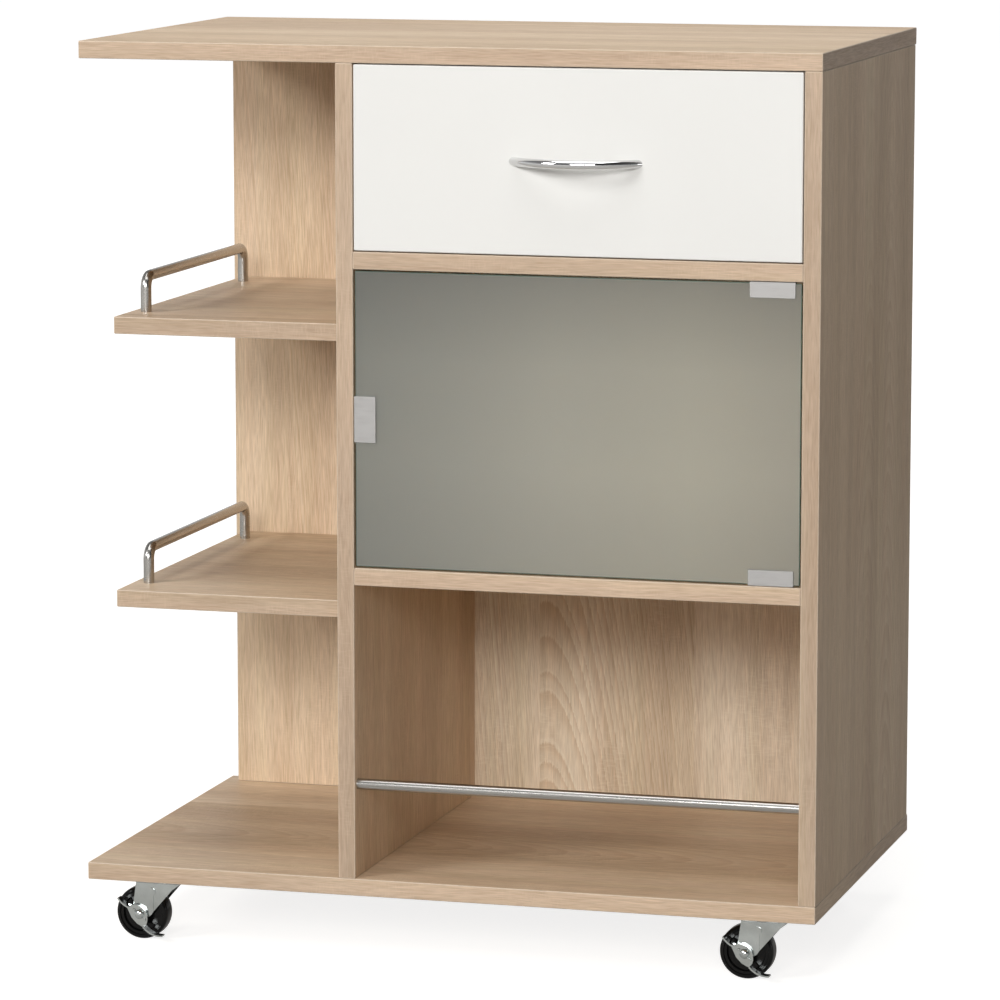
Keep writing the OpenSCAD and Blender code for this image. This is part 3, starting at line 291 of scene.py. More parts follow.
def sawn_oak(name, grain, across, tones, seed, plank, figure=1.0):
    """Oak print: planks, growth lines, wandering fibres, pores and short saw marks."""
    boards = settings("boards")
    oak = Finish(name, boards.gloss)
    dark, middle, pale = tones
    even = (1.0, 1.0, 1.0)

    def moved(value, amount, axis, vector):
        step = [amount if part == axis else 0.0 for part in range(3)]
        return oak.add(
            "ShaderNodeVectorMath", {0: value, 1: step, 2: vector}, operation="MULTIPLY_ADD"
        ).outputs[0]

    def streaks(vector, length_scale, cross_scale, detail, roughness=0.5, offset=seed):
        scale = along(grain, length_scale, cross_scale)
        values = {"Vector": vector, "Scale": scale, "Location": offset}
        spread = oak.add("ShaderNodeMapping", values).outputs[0]
        return oak.noise(spread, 1.0, detail, roughness)

    def times(base, tone):
        return oak.mix(1.0, base, tone, "MULTIPLY")

    # Each plank in the print has a number, and with it a tone, a heart and a stretch of the tree
    number_step, scatter = 12.99, 437.5
    part = oak.add("ShaderNodeSeparateXYZ", {0: oak.place}).outputs
    row = oak.maths("MULTIPLY_ADD", part[across], 1.0 / plank, seed[0])
    number = oak.maths("MULTIPLY_ADD", oak.maths("FLOOR", row), number_step, seed[1])
    lot = oak.maths("FRACT", oak.maths("MULTIPLY", oak.maths("SINE", number), scatter))
    log = moved(lot, 2.0, grain, oak.place)
    bent = moved(streaks(log, 6.0, 16.0, 2.0), 0.008, across, log)

    # Slow drift of the tone and of the hue, and the plank's own shade
    drift = streaks(bent, 0.9, 13.0, 3.0, 0.55)
    base = oak.ramp(drift, [(0.34, dark), (0.5, middle), (0.66, pale)])
    hue = streaks(bent, 1.2, 42.0, 2.0, 0.5, seed[::-1])
    olive, pink = (0.99, 1.0, 0.975), (1.01, 0.995, 0.995)
    base = times(base, oak.ramp(hue, [(0.36, olive), (0.5, even), (0.64, pink)]))
    apart = [figure * level for level in (0.06, 0.08, 0.11)]
    shades = [(0.0, [1.0 + level for level in apart]), (1.0, [1.0 - level for level in apart])]
    base = times(base, oak.ramp(lot, shades))

    # Growth lines round the heart, which lies in the plank or up to a plank and a half beside it
    fine = streaks(bent, 55.0, 1250.0, 1.0)
    heart = oak.maths("MULTIPLY_ADD", lot, 2.4, -1.3)
    off = oak.maths("MULTIPLY", oak.maths("SUBTRACT", oak.maths("FRACT", row), heart), plank)
    ragged = moved(fine, 0.012, grain, bent)
    run = oak.add("ShaderNodeSeparateXYZ", {0: ragged}).outputs[grain]
    patches = oak.ramp(streaks(bent, 2.5, 9.0, 1.0), [(0.35, 0.35), (0.55, 1.0)])
    strength = oak.maths("MULTIPLY", patches, min(1.0, boards.figure * figure))
    strength = oak.maths("MULTIPLY", growth_rings(oak, off, run), strength)
    base = oak.mix(strength, base, times(base, (0.78, 0.67, 0.57)))

    # Broad, narrow and fine fibres
    for noise, reach, level in (
        (streaks(bent, 3.0, 85.0, 2.0, 0.6), 0.18, boards.fibre * 0.3),
        (streaks(bent, 26.0, 520.0, 2.0, 0.6), 0.18, boards.fibre * 0.5),
        (fine, 0.2, boards.fibre * 0.6),
    ):
        low = [1.0 - level * warmth for warmth in (0.7, 0.9, 1.15)]
        high = [1.0 + level * 0.7] * 3
        base = times(base, oak.ramp(noise, [(0.5 - reach, low), (0.5, even), (0.5 + reach, high)]))

    # Pores along the grain and saw marks across it
    pores = oak.ramp(streaks(bent, 75.0, 1500.0, 1.0, 0.5, seed[::-1]), [(0.62, 0.0), (0.7, 1.0)])
    base = oak.mix(oak.maths("MULTIPLY", pores, 0.22), base, [tone * 0.6 for tone in dark])
    marks = streaks(bent, 620.0, 120.0, 1.0)
    places = streaks(bent, 9.0, 22.0, 2.0, 0.5, seed[::-1])
    mask = oak.maths(
        "MULTIPLY",
        oak.ramp(marks, [(0.52, 0.0), (0.66, 1.0)]),
        oak.ramp(places, [(0.48, 0.0), (0.62, 1.0)]),
    )
    mask = oak.maths("MULTIPLY", mask, boards.saw)
    base = oak.mix(mask, base, [min(1.0, tone * 1.2) for tone in pale])
    rough = oak.ramp(fine, [(0.3, boards.gloss + 0.08), (0.7, boards.gloss - 0.05)])
    oak.bump(oak.maths("ADD", fine, oak.maths("MULTIPLY", marks, 0.4)), 0.12, 0.0003)
    return oak.finish(Base_Color=base, Roughness=rough)


def arris_with_painted_highlight(tone):
    """Rounded edge of an edge band, painted paler as a highlight, with a little of its grain."""
    arris = Finish("pale arris", 0.4)
    streaks = arris.noise(arris.stretched((160.0, 160.0, 160.0)), 1.0, 3.0, 0.7)
    low = [part * 0.84 for part in tone]
    base = arris.ramp(streaks, [(0.3, low), (0.7, tone)])
    arris.bump(streaks, 0.1, 0.0002)
    return arris.finish(Base_Color=base)


def chipboard_core():
    """Bare chips inside holes and grooves."""
    core = Finish("chipboard core", 0.85)
    chips = core.add(
        "ShaderNodeTexVoronoi", {"Vector": core.stretched((420.0, 420.0, 900.0)), "Scale": 1.0}
    ).outputs["Color"]
    dark, middle, pale = (0.2, 0.13, 0.07), (0.38, 0.27, 0.16), (0.52, 0.4, 0.26)
    tone = core.ramp(chips, [(0.1, dark), (0.5, middle), (0.9, pale)])
    core.bump(chips, 0.3, 0.0004)
    return core.finish(Base_Color=tone)


def fibreboard():
    """Brown felted back of the thin board."""
    board = Finish("fibreboard back", 0.7)
    fuzz = board.noise(board.stretched((500.0, 500.0, 500.0)), 1.0, 4.0, 0.7)
    tone = board.ramp(fuzz, [(0.3, (0.25, 0.16, 0.09)), (0.7, (0.36, 0.25, 0.15))])
    board.bump(fuzz, 0.2, 0.0003)
    return board.finish(Base_Color=tone)


def white_melamine(name, tone, roughness):
    """Satin white foil with the light orange peel of a pressed surface."""
    white = Finish(name, roughness)
    peel = white.noise(white.place, 900.0, 2.0)
    drift = white.noise(white.place, 6.0, 2.0)
    shaded = [channel * 0.985 for channel in tone]
    base = white.ramp(drift, [(0.35, shaded), (0.65, tone)])
    white.bump(peel, 0.05, 0.0002)
    return white.finish(Base_Color=base)


def plain_wood(name, tone):
    """Turned wood with fine lines along Z."""
    wood = Finish(name, 0.6)
    lines = wood.noise(wood.stretched((900.0, 900.0, 60.0)), 1.0, 2.0)
    base = wood.ramp(lines, [(0.3, [c * 0.8 for c in tone]), (0.7, tone)])
    wood.bump(lines, 0.2, 0.0002)
    return wood.finish(Base_Color=base)


def frosted_glass():
    """Acid-etched pane: a fine grain on a satin face, and painted shade that darkens it towards its
    left and top rims.
    """
    look = settings("glass")
    pane = Finish("frosted glass", look.frost)
    low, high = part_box("glass_door")
    clouds = pane.noise(pane.stretched((2.4, 1.0, 2.0), (0.3, 0.0, 0.1)), 1.0, 2.0)
    part = pane.add("ShaderNodeSeparateXYZ", {0: pane.place}).outputs
    base = pane.ramp(clouds, [(0.3, [c * 0.95 for c in look.tint]), (0.7, tuple(look.tint))])
    # Painted shade: the tint falls off towards the pane's left and top rims, standing in for the
    # shadow inside the cabinet seen through the glass
    left, right = (0.7, 0.72, 0.74), (0.9, 0.88, 0.86)
    painted_shade_across = [(0.0, left), (0.45, 0.95), (0.75, (1.0, 0.99, 0.97)), (1.0, right)]
    painted_shade_by_height = [(0.0, 0.9), (0.35, 1.0), (0.7, 0.93), (1.0, 0.66)]
    for axis, stops in ((0, painted_shade_across), (2, painted_shade_by_height)):
        span = high[axis] - low[axis]
        over = pane.maths("MULTIPLY_ADD", part[axis], 1.0 / span, -low[axis] / span)
        base = pane.mix(1.0, base, pane.ramp(over, stops), "MULTIPLY")
    grain = pane.noise(pane.place, 2600.0, 2.0)
    pane.bump(grain, 0.08, 0.0002)
    return pane.finish(Base_Color=base, Transmission_Weight=look.clearness, IOR=1.5)


def polished_edge():
    """Green glass edge with a slight ripple."""
    look = settings("glass")
    edge = Finish("polished glass edge", 0.12)
    ripple = edge.noise(edge.stretched((300.0, 300.0, 300.0)), 1.0, 1.0)
    tint = tuple(look.edge_tint)
    base = edge.ramp(ripple, [(0.3, [c * 0.8 for c in tint]), (0.7, tint)])
    return edge.finish(Base_Color=base, IOR=1.5)


def plated(name, tone, roughness, scale, spread=0.12, wave=0.0):
    """Plated metal: a drifting tone, fine marks in its polish and, where pressed, a soft swell."""
    metal = Finish(name, roughness, 1.0)
    clouds = metal.noise(metal.place, scale, 3.0)
    tone = tuple(tone)
    base = metal.ramp(clouds, [(0.3, [c * (1.0 - spread) for c in tone]), (0.7, tone)])
    wear = metal.noise(metal.place, scale * 5.0, 2.0)
    rough = metal.ramp(wear, [(0.3, roughness * 0.88), (0.7, min(1.0, roughness * 1.12))])
    swell = metal.maths("MULTIPLY", metal.noise(metal.place, scale * 1.2, 0.0), wave)
    metal.bump(metal.maths("MULTIPLY_ADD", wear, 0.004, swell), 1.0, 0.001)
    return metal.finish(Base_Color=base, Roughness=rough)


def brushed(name, tone, roughness, scale):
    """Metal with fine lines, on Object coordinates."""
    metal = Finish(name, roughness, 1.0)
    lines = metal.noise(metal.stretched(scale), 1.0, 3.0, 0.6)
    tone = tuple(tone)
    base = metal.ramp(lines, [(0.3, [c * 0.86 for c in tone]), (0.7, tone)])
    rough = metal.ramp(lines, [(0.3, roughness * 0.8), (0.7, roughness * 1.3)])
    metal.bump(lines, 0.03, 0.0002)
    return metal.finish(Base_Color=base, Roughness=rough)


def brushed_bar():
    """Stainless bar whose brush lines run round it, on the bar's own attributes."""
    look = settings("metals")
    bar = Finish("brushed stainless bar", 0.24, 1.0)
    run = bar.add("ShaderNodeAttribute", attribute_name="run").outputs["Fac"]
    turn = bar.add("ShaderNodeAttribute", attribute_name="turn").outputs["Fac"]
    spread = bar.add("ShaderNodeCombineXYZ", {0: run, 1: turn}).outputs[0]
    values = {"Vector": spread, "Scale": (2500.0, 9.0, 1.0)}
    lines = bar.noise(bar.add("ShaderNodeMapping", values).outputs[0], 1.0, 2.0)
    tone = tuple(look.steel)
    base = bar.ramp(lines, [(0.3, [c * 0.95 for c in tone]), (0.7, tone)])
    rough = bar.ramp(lines, [(0.3, 0.22), (0.7, 0.28)])
    bar.bump(lines, 0.012, 0.0001)
    return bar.finish(Base_Color=base, Roughness=rough)


def moulded(name, tone, roughness, grain=0.1, mirror=0.5):
    """Moulded plastic with a slight grain."""
    plastic = Finish(name, roughness)
    skin = plastic.noise(plastic.place, 1200.0, 2.0)
    base = plastic.ramp(skin, [(0.3, [c * 0.9 for c in tone]), (0.7, tone)])
    plastic.bump(skin, grain, 0.0002)
    return plastic.finish(Base_Color=base, Specular_IOR_Level=mirror)


# Meshes


def new_object(name, mesh):
    piece = bpy.data.objects.new(name, mesh)
    bpy.context.scene.collection.objects.link(piece)
    return piece


def belong(piece, node):
    """The piece stands for a CAD node, on the node's own body."""
    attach(piece, NODES[node]["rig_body"])
    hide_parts(node)
    return piece


def dress(node, material):
    """A CAD node keeps its shape and gets a finish."""
    for slot in NODES[node].material_slots:
        slot.material = material


def merged(node):
    """Copy of a CAD node's triangles, joined up and with its flat faces whole."""
    mesh = bmesh.new()
    mesh.from_mesh(NODES[node].data)
    bmesh.ops.remove_doubles(mesh, verts=mesh.verts, dist=1e-6)
    bmesh.ops.dissolve_limit(
        mesh, angle_limit=math.radians(0.4), verts=mesh.verts, edges=mesh.edges, delimit={"NORMAL"}
    )
    return mesh


def outer_planes(point, low, high, slack=2e-5):
    """Sides of the box that a point lies on."""
    return {
        (axis, side)
        for axis in range(3)
        for side, corner in enumerate((low, high))
        if abs(point[axis] - corner[axis]) < slack
    }


def rounded_slab(node, radius, pick, materials):
    """Copy of a flat CAD piece with rounded outer edges. pick gives each face its material."""
    low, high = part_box(node)
    mesh = merged(node)
    edges = []
    for edge in mesh.edges:
        first, second = (outer_planes(vert.co, low, high) for vert in edge.verts)
        if len(first & second) > 1:
            edges.append(edge)
    if radius > 0.0:
        bmesh.ops.bevel(
            mesh,
            geom=edges,
            offset=radius,
            offset_type="OFFSET",
            segments=2,
            profile=0.5,
            affect="EDGES",
            clamp_overlap=True,
        )
    for face in mesh.faces:
        middle = face.calc_center_median()
        inner = all(
            min(abs(middle[axis] - low[axis]), abs(middle[axis] - high[axis])) > radius * 1.2 + 1e-5
            for axis in range(3)
        )
        face.material_index = pick(face.normal, inner)
    data = bpy.data.meshes.new(node + "_slab")
    mesh.to_mesh(data)
    mesh.free()
    for material in materials:
        data.materials.append(material)
    return belong(new_object(node + "_finished", data), node)


def slab_faces(thin_axis):
    """Face picker: 0 broad faces, 1 and 2 edges, 3 inside holes and grooves, 4 rounded edges."""
    others = [axis for axis in range(3) if axis != thin_axis]

    def pick(normal, inner):
        if inner:
            return 3
        sizes = [abs(part) for part in normal]
        strongest = sizes.index(max(sizes))
        if sizes[strongest] < 0.999:
            return 4
        return 0 if strongest == thin_axis else 1 + others.index(strongest)

    return pick


def smoothed(node, material, crease=30.0):
    """Copy of a CAD piece whose curved faces are shaded smooth up to its creases."""
    mesh = merged(node)
    for face in mesh.faces:
        face.smooth = True
    for edge in mesh.edges:
        if len(edge.link_faces) == 2:
            edge.smooth = edge.calc_face_angle() < math.radians(crease)
    data = bpy.data.meshes.new(node + "_smooth")
    mesh.to_mesh(data)
    mesh.free()
    data.materials.append(material)
    return belong(new_object(node + "_finished", data), node)


# Geometry Nodes


class Growth(Nodes):
    """A Geometry Nodes tree under construction, with named inputs."""

    def __init__(self, name, inputs):
        super().__init__(bpy.data.node_groups.new(name, "GeometryNodeTree"))
        face = self.tree.interface
        face.new_socket("Geometry", in_out="INPUT", socket_type="NodeSocketGeometry")
        face.new_socket("Geometry", in_out="OUTPUT", socket_type="NodeSocketGeometry")
        self.keys = {}
        for label, kind in inputs:
            socket = face.new_socket(label, in_out="INPUT", socket_type="NodeSocket" + kind)
            self.keys[label] = socket.identifier
        self.input = self.tree.nodes.new("NodeGroupInput")
        self.output = self.tree.nodes.new("NodeGroupOutput")

    def close(self, geometry):
        """Ends the tree in Realize Instances and Set Material."""
        real = self.add("GeometryNodeRealizeInstances", {0: geometry}).outputs[0]
        skin = self.add(
            "GeometryNodeSetMaterial", {"Geometry": real, "Material": self.input.outputs["Material"]}
        )
        self.tree.links.new(skin.outputs[0], self.output.inputs[0])
        return self.tree

    def grow(self, name, start, values):
        """Runs the tree on a start mesh and returns a plain mesh object."""
        seed = new_object(name + "_seed", start)
        modifier = seed.modifiers.new("growth", "NODES")
        modifier.node_group = self.tree
        for label, value in values.items():
            modifier[self.keys[label]] = value
        seen = seed.evaluated_get(bpy.context.evaluated_depsgraph_get())
        mesh = bpy.data.meshes.new_from_object(seen)
        seed.modifiers.remove(modifier)
        bpy.data.objects.remove(seed)
        return new_object(name, mesh)


def bent_rail_tree():
    """A round bar that rises from its first foot, turns twice and goes down to its second foot."""
    rail = Growth(
        "bent rail",
        [
            ("Foot", "Vector"),
            ("Spacing", "Float"),
            ("Height", "Float"),
            ("Bend radius", "Float"),
            ("Bar radius", "Float"),
            ("Bar sides", "Int"),
            ("Material", "Material"),
        ],
    )
    value = rail.input.outputs
    index = rail.add("GeometryNodeInputIndex").outputs[0]
    far = rail.maths("GREATER_THAN", index, 1.5)
    from_middle = rail.maths("ABSOLUTE", rail.maths("SUBTRACT", index, 1.5))
    high = rail.maths("LESS_THAN", from_middle, 1.0)
    corner = rail.add(
        "ShaderNodeCombineXYZ",
        {
            1: rail.maths("MULTIPLY", far, value["Spacing"]),
            2: rail.maths("MULTIPLY", high, value["Height"]),
        },
    ).outputs[0]
    place = rail.add(
        "ShaderNodeVectorMath", {0: corner, 1: value["Foot"]}, operation="ADD"
    ).outputs[0]
    points = rail.add("GeometryNodeMeshLine", {"Count": 4}).outputs[0]
    line = rail.add("GeometryNodeMeshToCurve", {0: points}).outputs[0]
    path = rail.add("GeometryNodeSetPosition", {"Geometry": line, "Position": place}).outputs[0]
    bent = rail.add(
        "GeometryNodeFilletCurve",
        {"Curve": path, "Count": 12, "Radius": value["Bend radius"]},
        mode="POLY",
    ).outputs[0]
    run = rail.add("GeometryNodeSplineParameter").outputs["Length"]
    bent = rail.add(
        "GeometryNodeStoreNamedAttribute",
        {"Geometry": bent, "Name": "run", "Value": run},
        data_type="FLOAT",
        domain="POINT",
    ).outputs[0]
    ring = rail.add(
        "GeometryNodeCurvePrimitiveCircle",
        {"Resolution": value["Bar sides"], "Radius": value["Bar radius"]},
    ).outputs[0]
    share_round = rail.add("GeometryNodeSplineParameter").outputs["Factor"]
    ring = rail.add(
        "GeometryNodeStoreNamedAttribute",
        {"Geometry": ring, "Name": "turn", "Value": share_round},
        data_type="FLOAT",
        domain="POINT",
    ).outputs[0]
    tube = rail.add(
        "GeometryNodeCurveToMesh", {"Curve": bent, "Profile Curve": ring, "Fill Caps": True}
    ).outputs[0]
    smooth = rail.add("GeometryNodeSetShadeSmooth", {"Geometry": tube, "Shade Smooth": True})
    rail.close(smooth.outputs[0])
    return rail


def screw_tree():
    """A copy of one screw at each point, turned by the point's attribute."""
    rows = Growth("screws", [("Screw", "Object"), ("Material", "Material")])
    model = rows.add(
        "GeometryNodeObjectInfo", {"Object": rows.input.outputs["Screw"]}, transform_space="ORIGINAL"
    ).outputs["Geometry"]
    turn = rows.add(
        "GeometryNodeInputNamedAttribute", {"Name": "turn"}, data_type="FLOAT_VECTOR"
    ).outputs[0]
    points = rows.add("GeometryNodeMeshToPoints", {0: rows.input.outputs["Geometry"]}).outputs[0]
    copies = rows.add(
        "GeometryNodeInstanceOnPoints", {"Points": points, "Instance": model, "Rotation": turn}
    ).outputs[0]
    rows.close(copies)
    return rows


def loose_solids(node):
    """Vertex lists of the separate solids in a CAD node, in the order of their first vertices."""
    mesh = merged(node)
    left = set(mesh.verts)
    solids = []
    for first in mesh.verts:
        if first not in left:
            continue
        left.remove(first)
        queue = [first]
        found = []
        while queue:
            vert = queue.pop()
            found.append(vert.co.copy())
            for edge in vert.link_edges:
                other = edge.other_vert(vert)
                if other in left:
                    left.remove(other)
                    queue.append(other)
        solids.append(found)
    mesh.free()
    return solids


def screw_facts(points):
    """Head centre, direction from head to tip, and the solid's sizes, for a screw along one axis."""
    low = Vector([min(point[axis] for point in points) for axis in range(3)])
    high = Vector([max(point[axis] for point in points) for axis in range(3)])
    size = high - low
    middle = (low + high) / 2
    axis = max(range(3), key=lambda part: size[part])
    radius = max(size[part] for part in range(3) if part != axis) / 2

    def widest(end):
        return max(
            (point - middle)[part]
            for point in points
            if abs(point[axis] - end[axis]) < size[axis] * 0.3
            for part in range(3)
            if part != axis
        )

    at_low = widest(low) >= widest(high)
    head = middle.copy()
    head[axis] = low[axis] if at_low else high[axis]
    direction = Vector((0.0, 0.0, 0.0))
    direction[axis] = 1.0 if at_low else -1.0
    return head, direction, size[axis], radius


def sink_cross(mesh, rim, arm, half, depth):
    """Fills the flat top inside a rim and sinks a cross into it."""
    outline = []
    for quarter in range(4):
        cos, sin = ((1, 0), (0, 1), (-1, 0), (0, -1))[quarter]
        for x, y in ((arm, -half), (arm, half), (half, half)):
            outline.append((x * cos - y * sin, x * sin + y * cos))
    top = [mesh.verts.new((x, y, 0.0)) for x, y in outline]
    floor = [mesh.verts.new((x * 0.8, y * 0.8, depth)) for x, y in outline]
    lines = []
    for ring in (rim, top):
        for first, second in zip(ring, ring[1:] + ring[:1]):
            lines.append(mesh.edges.get((first, second)) or mesh.edges.new((first, second)))
    bmesh.ops.triangle_fill(mesh, edges=lines, use_beauty=True)
    for index, vert in enumerate(top):
        after = (index + 1) % len(top)
        mesh.faces.new((vert, top[after], floor[after], floor[index]))
    mesh.faces.new(floor)


def cross_screw(name, length_all, head_radius, head_height, shank_radius, domed):
    """Screw along +Z from its head at z = 0, with a cross recess and a threaded shank."""
    sides, pitch, tip, rim = 24, 0.0016, 0.003, 38
    if domed:
        profile = []
        for step in range(5):
            angle = math.radians(rim + (90 - rim) * step / 4)
            drop = math.cos(math.radians(rim)) - math.cos(angle)
            profile.append((head_radius * math.sin(angle), head_height * drop))
    else:
        profile = [(head_radius, 0.0), (head_radius, 0.0003)]
    profile.append((shank_radius, head_height))
    z = head_height
    while z + pitch < length_all - tip:
        profile += [(shank_radius, z + pitch * 0.3), (shank_radius * 0.78, z + pitch * 0.75)]
        z += pitch
    profile += [(shank_radius * 0.7, length_all - tip), (0.0, length_all)]
    mesh = bmesh.new()
    turns = [2 * math.pi * side / sides for side in range(sides)]
    rings = []
    for radius, height in profile:
        corners = [(radius * math.cos(turn), radius * math.sin(turn), height) for turn in turns]
        rings.append([mesh.verts.new(corner) for corner in (corners if radius else corners[:1])])
    for upper, lower in zip(rings, rings[1:]):
        for side in range(sides):
            after = (side + 1) % sides
            corners = [upper[side % len(upper)], upper[after % len(upper)]]
            corners += [lower[after % len(lower)], lower[side % len(lower)]]
            unique = list(dict.fromkeys(corners))
            if len(unique) > 2:
                mesh.faces.new(unique)
    sink_cross(mesh, rings[0], head_radius * 0.45, head_radius * 0.1, head_height * 0.5)
    bmesh.ops.recalc_face_normals(mesh, faces=mesh.faces)
    data = bpy.data.meshes.new(name)
    mesh.to_mesh(data)
    mesh.free()
    return data


# Operators


class CartOperator:
    bl_options = {"REGISTER", "UNDO"}


class CART_OT_boards(CartOperator, bpy.types.Operator):
    """Oak boards with rounded edge bands"""

    bl_idname = "cart.boards"
    bl_label = "Boards"

    def execute(self, context):
        boards = settings("boards")
        tones = [tuple(tone) for tone in (boards.dark, boards.middle, boards.pale)]
        band = tuple(boards.band)
        bands = {}
        for grain, across, light in ((0, 2, 1.02), (1, 2, 1.02), (2, 0, 0.93)):
            band_tones = [[part * light * level for part in band] for level in (0.9, 1.0, 1.12)]
            name = "XYZ"[grain]
            seed = (3.1, 1.2, 2.3)
            title = "oak band along " + name
            bands[name] = sawn_oak(title, grain, across, band_tones, seed, 3.0, 0.4)
        core = chipboard_core()
        arris = arris_with_painted_highlight(tuple(boards.arris))
        for number, node in enumerate(HORIZONTAL_BOARDS):
            seed = (0.37 * number + 0.2, 0.53 * number + 0.4, 0.71 * number)
            face = sawn_oak("oak face of " + node, 0, 1, tones, seed, boards.plank)
            materials = [face, bands["Y"], bands["X"], core, arris]
            rounded_slab(node, boards.edge_radius, slab_faces(2), materials)
        for number, (node, thin) in enumerate(UPRIGHT_BOARDS.items()):
            seed = (0.31 * number + 5.7, 0.47 * number + 0.9, 0.61 * number + 2.3)
            face = sawn_oak("oak face of " + node, 2, 1 - thin, tones, seed, boards.plank)
            materials = [face, bands["Z"], bands["X"], core, arris]
            rounded_slab(node, boards.edge_radius, slab_faces(thin), materials)
        return {"FINISHED"}


class CART_OT_back_panel(CartOperator, bpy.types.Operator):
    """Thin back of the cupboard, with a printed front and a plain back"""

    bl_idname = "cart.back_panel"
    bl_label = "Back panel"

    def execute(self, context):
        boards = settings("boards")
        tones = [
            [part * level for part, level in zip(tone, (1.19, 1.32, 1.45))]
            for tone in (boards.dark, boards.middle, boards.pale)
        ]
        seed, plank = (0.119, 21.292, 0.1), 0.156
        front = sawn_oak("oak print of the back", 2, 0, tones, seed, plank, 1.35)

        def pick(normal, inner):
            return int(normal.y > -0.5)

        rounded_slab("cabinet_back_panel", 0.0, pick, [front, fibreboard()])
        return {"FINISHED"}


class CART_OT_drawer(CartOperator, bpy.types.Operator):
    """White drawer front and drawer box"""

    bl_idname = "cart.drawer"
    bl_label = "Drawer"

    def execute(self, context):
        drawer = settings("drawer")
        front = white_melamine("white drawer front", tuple(drawer.front_colour), 0.38)
        core = chipboard_core()
        materials = [front, front, front, core, front]
        rounded_slab("drawer_front", drawer.edge_radius, slab_faces(1), materials)
        box = white_melamine("white drawer box", tuple(drawer.box_colour), 0.5)
        for node in ("drawer_left_side", "drawer_right_side", "drawer_back", "drawer_bottom"):
            dress(node, box)
        return {"FINISHED"}


class CART_OT_glass_door(CartOperator, bpy.types.Operator):
    """Frosted pane with its clamps and its strike plate"""

    bl_idname = "cart.glass_door"
    bl_label = "Glass door"

    def execute(self, context):
        look = settings("glass")
        pane, edge = frosted_glass(), polished_edge()
        materials = [pane, edge, edge, edge, edge]
        rounded_slab("glass_door", look.edge_radius, slab_faces(1), materials)
        satin = brushed("satin clamp", settings("metals").clamp, 0.48, (60.0, 900.0, 900.0))
        for node in ("upper_hinge_clamp", "lower_hinge_clamp", "strike_plate"):
            smoothed(node, satin)
        dress("hinge_bushes", moulded("grey nylon", (0.5, 0.51, 0.51), 0.45))
        return {"FINISHED"}


class CART_OT_rails(CartOperator, bpy.types.Operator):
    """Bent shelf rails and the bar across the open compartment"""

    bl_idname = "cart.rails"
    bl_label = "Rails"

    def execute(self, context):
        look = settings("metals")
        steel = brushed_bar()
        tree = bent_rail_tree()
        for node in ("upper_shelf_rail", "lower_shelf_rail"):
            low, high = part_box(node)
            bar = (high.x - low.x) / 2
            middle = (low.x + high.x) / 2
            rail = tree.grow(
                node + "_bent",
                bpy.data.meshes.new(node + "_start"),
                {
                    "Foot": (middle, low.y + bar, low.z),
                    "Spacing": high.y - low.y - 2 * bar,
                    "Height": high.z - low.z - bar,
                    "Bend radius": 11 * MM,
                    "Bar radius": bar,
                    "Bar sides": look.bar_sides,
                    "Material": steel,
                },
            )
            belong(rail, node)
        rod = brushed("brushed stainless rod", look.steel, 0.24, (12.0, 1200.0, 1200.0))
        smoothed("bottom_rail", rod)
        return {"FINISHED"}


class CART_OT_handle(CartOperator, bpy.types.Operator):
    """Chrome drawer handle"""

    bl_idname = "cart.handle"
    bl_label = "Handle"

    def execute(self, context):
        chrome = plated("polished chrome", settings("metals").chrome, 0.07, 30.0, 0.04)
        smoothed("drawer_handle", chrome)
        return {"FINISHED"}


class CART_OT_runners(CartOperator, bpy.types.Operator):
    """Drawer runners, their rollers and the push latch"""

    bl_idname = "cart.runners"
    bl_label = "Runners and latch"

    def execute(self, context):
        enamel = moulded("white powder coat", (0.8, 0.8, 0.77), 0.4, 0.2)
        for side in ("left", "right"):
            dress(side + "_cabinet_runner", enamel)
            dress(side + "_drawer_runner", enamel)
        nylon = moulded("white nylon", (0.72, 0.72, 0.69), 0.45)
        dress("front_rollers", nylon)
        dress("rear_rollers", nylon)
        dress("push_latch_body", moulded("grey latch", (0.3, 0.31, 0.31), 0.5))
        dress("push_latch_plunger", moulded("black plunger", (0.02, 0.02, 0.02), 0.4))
        return {"FINISHED"}


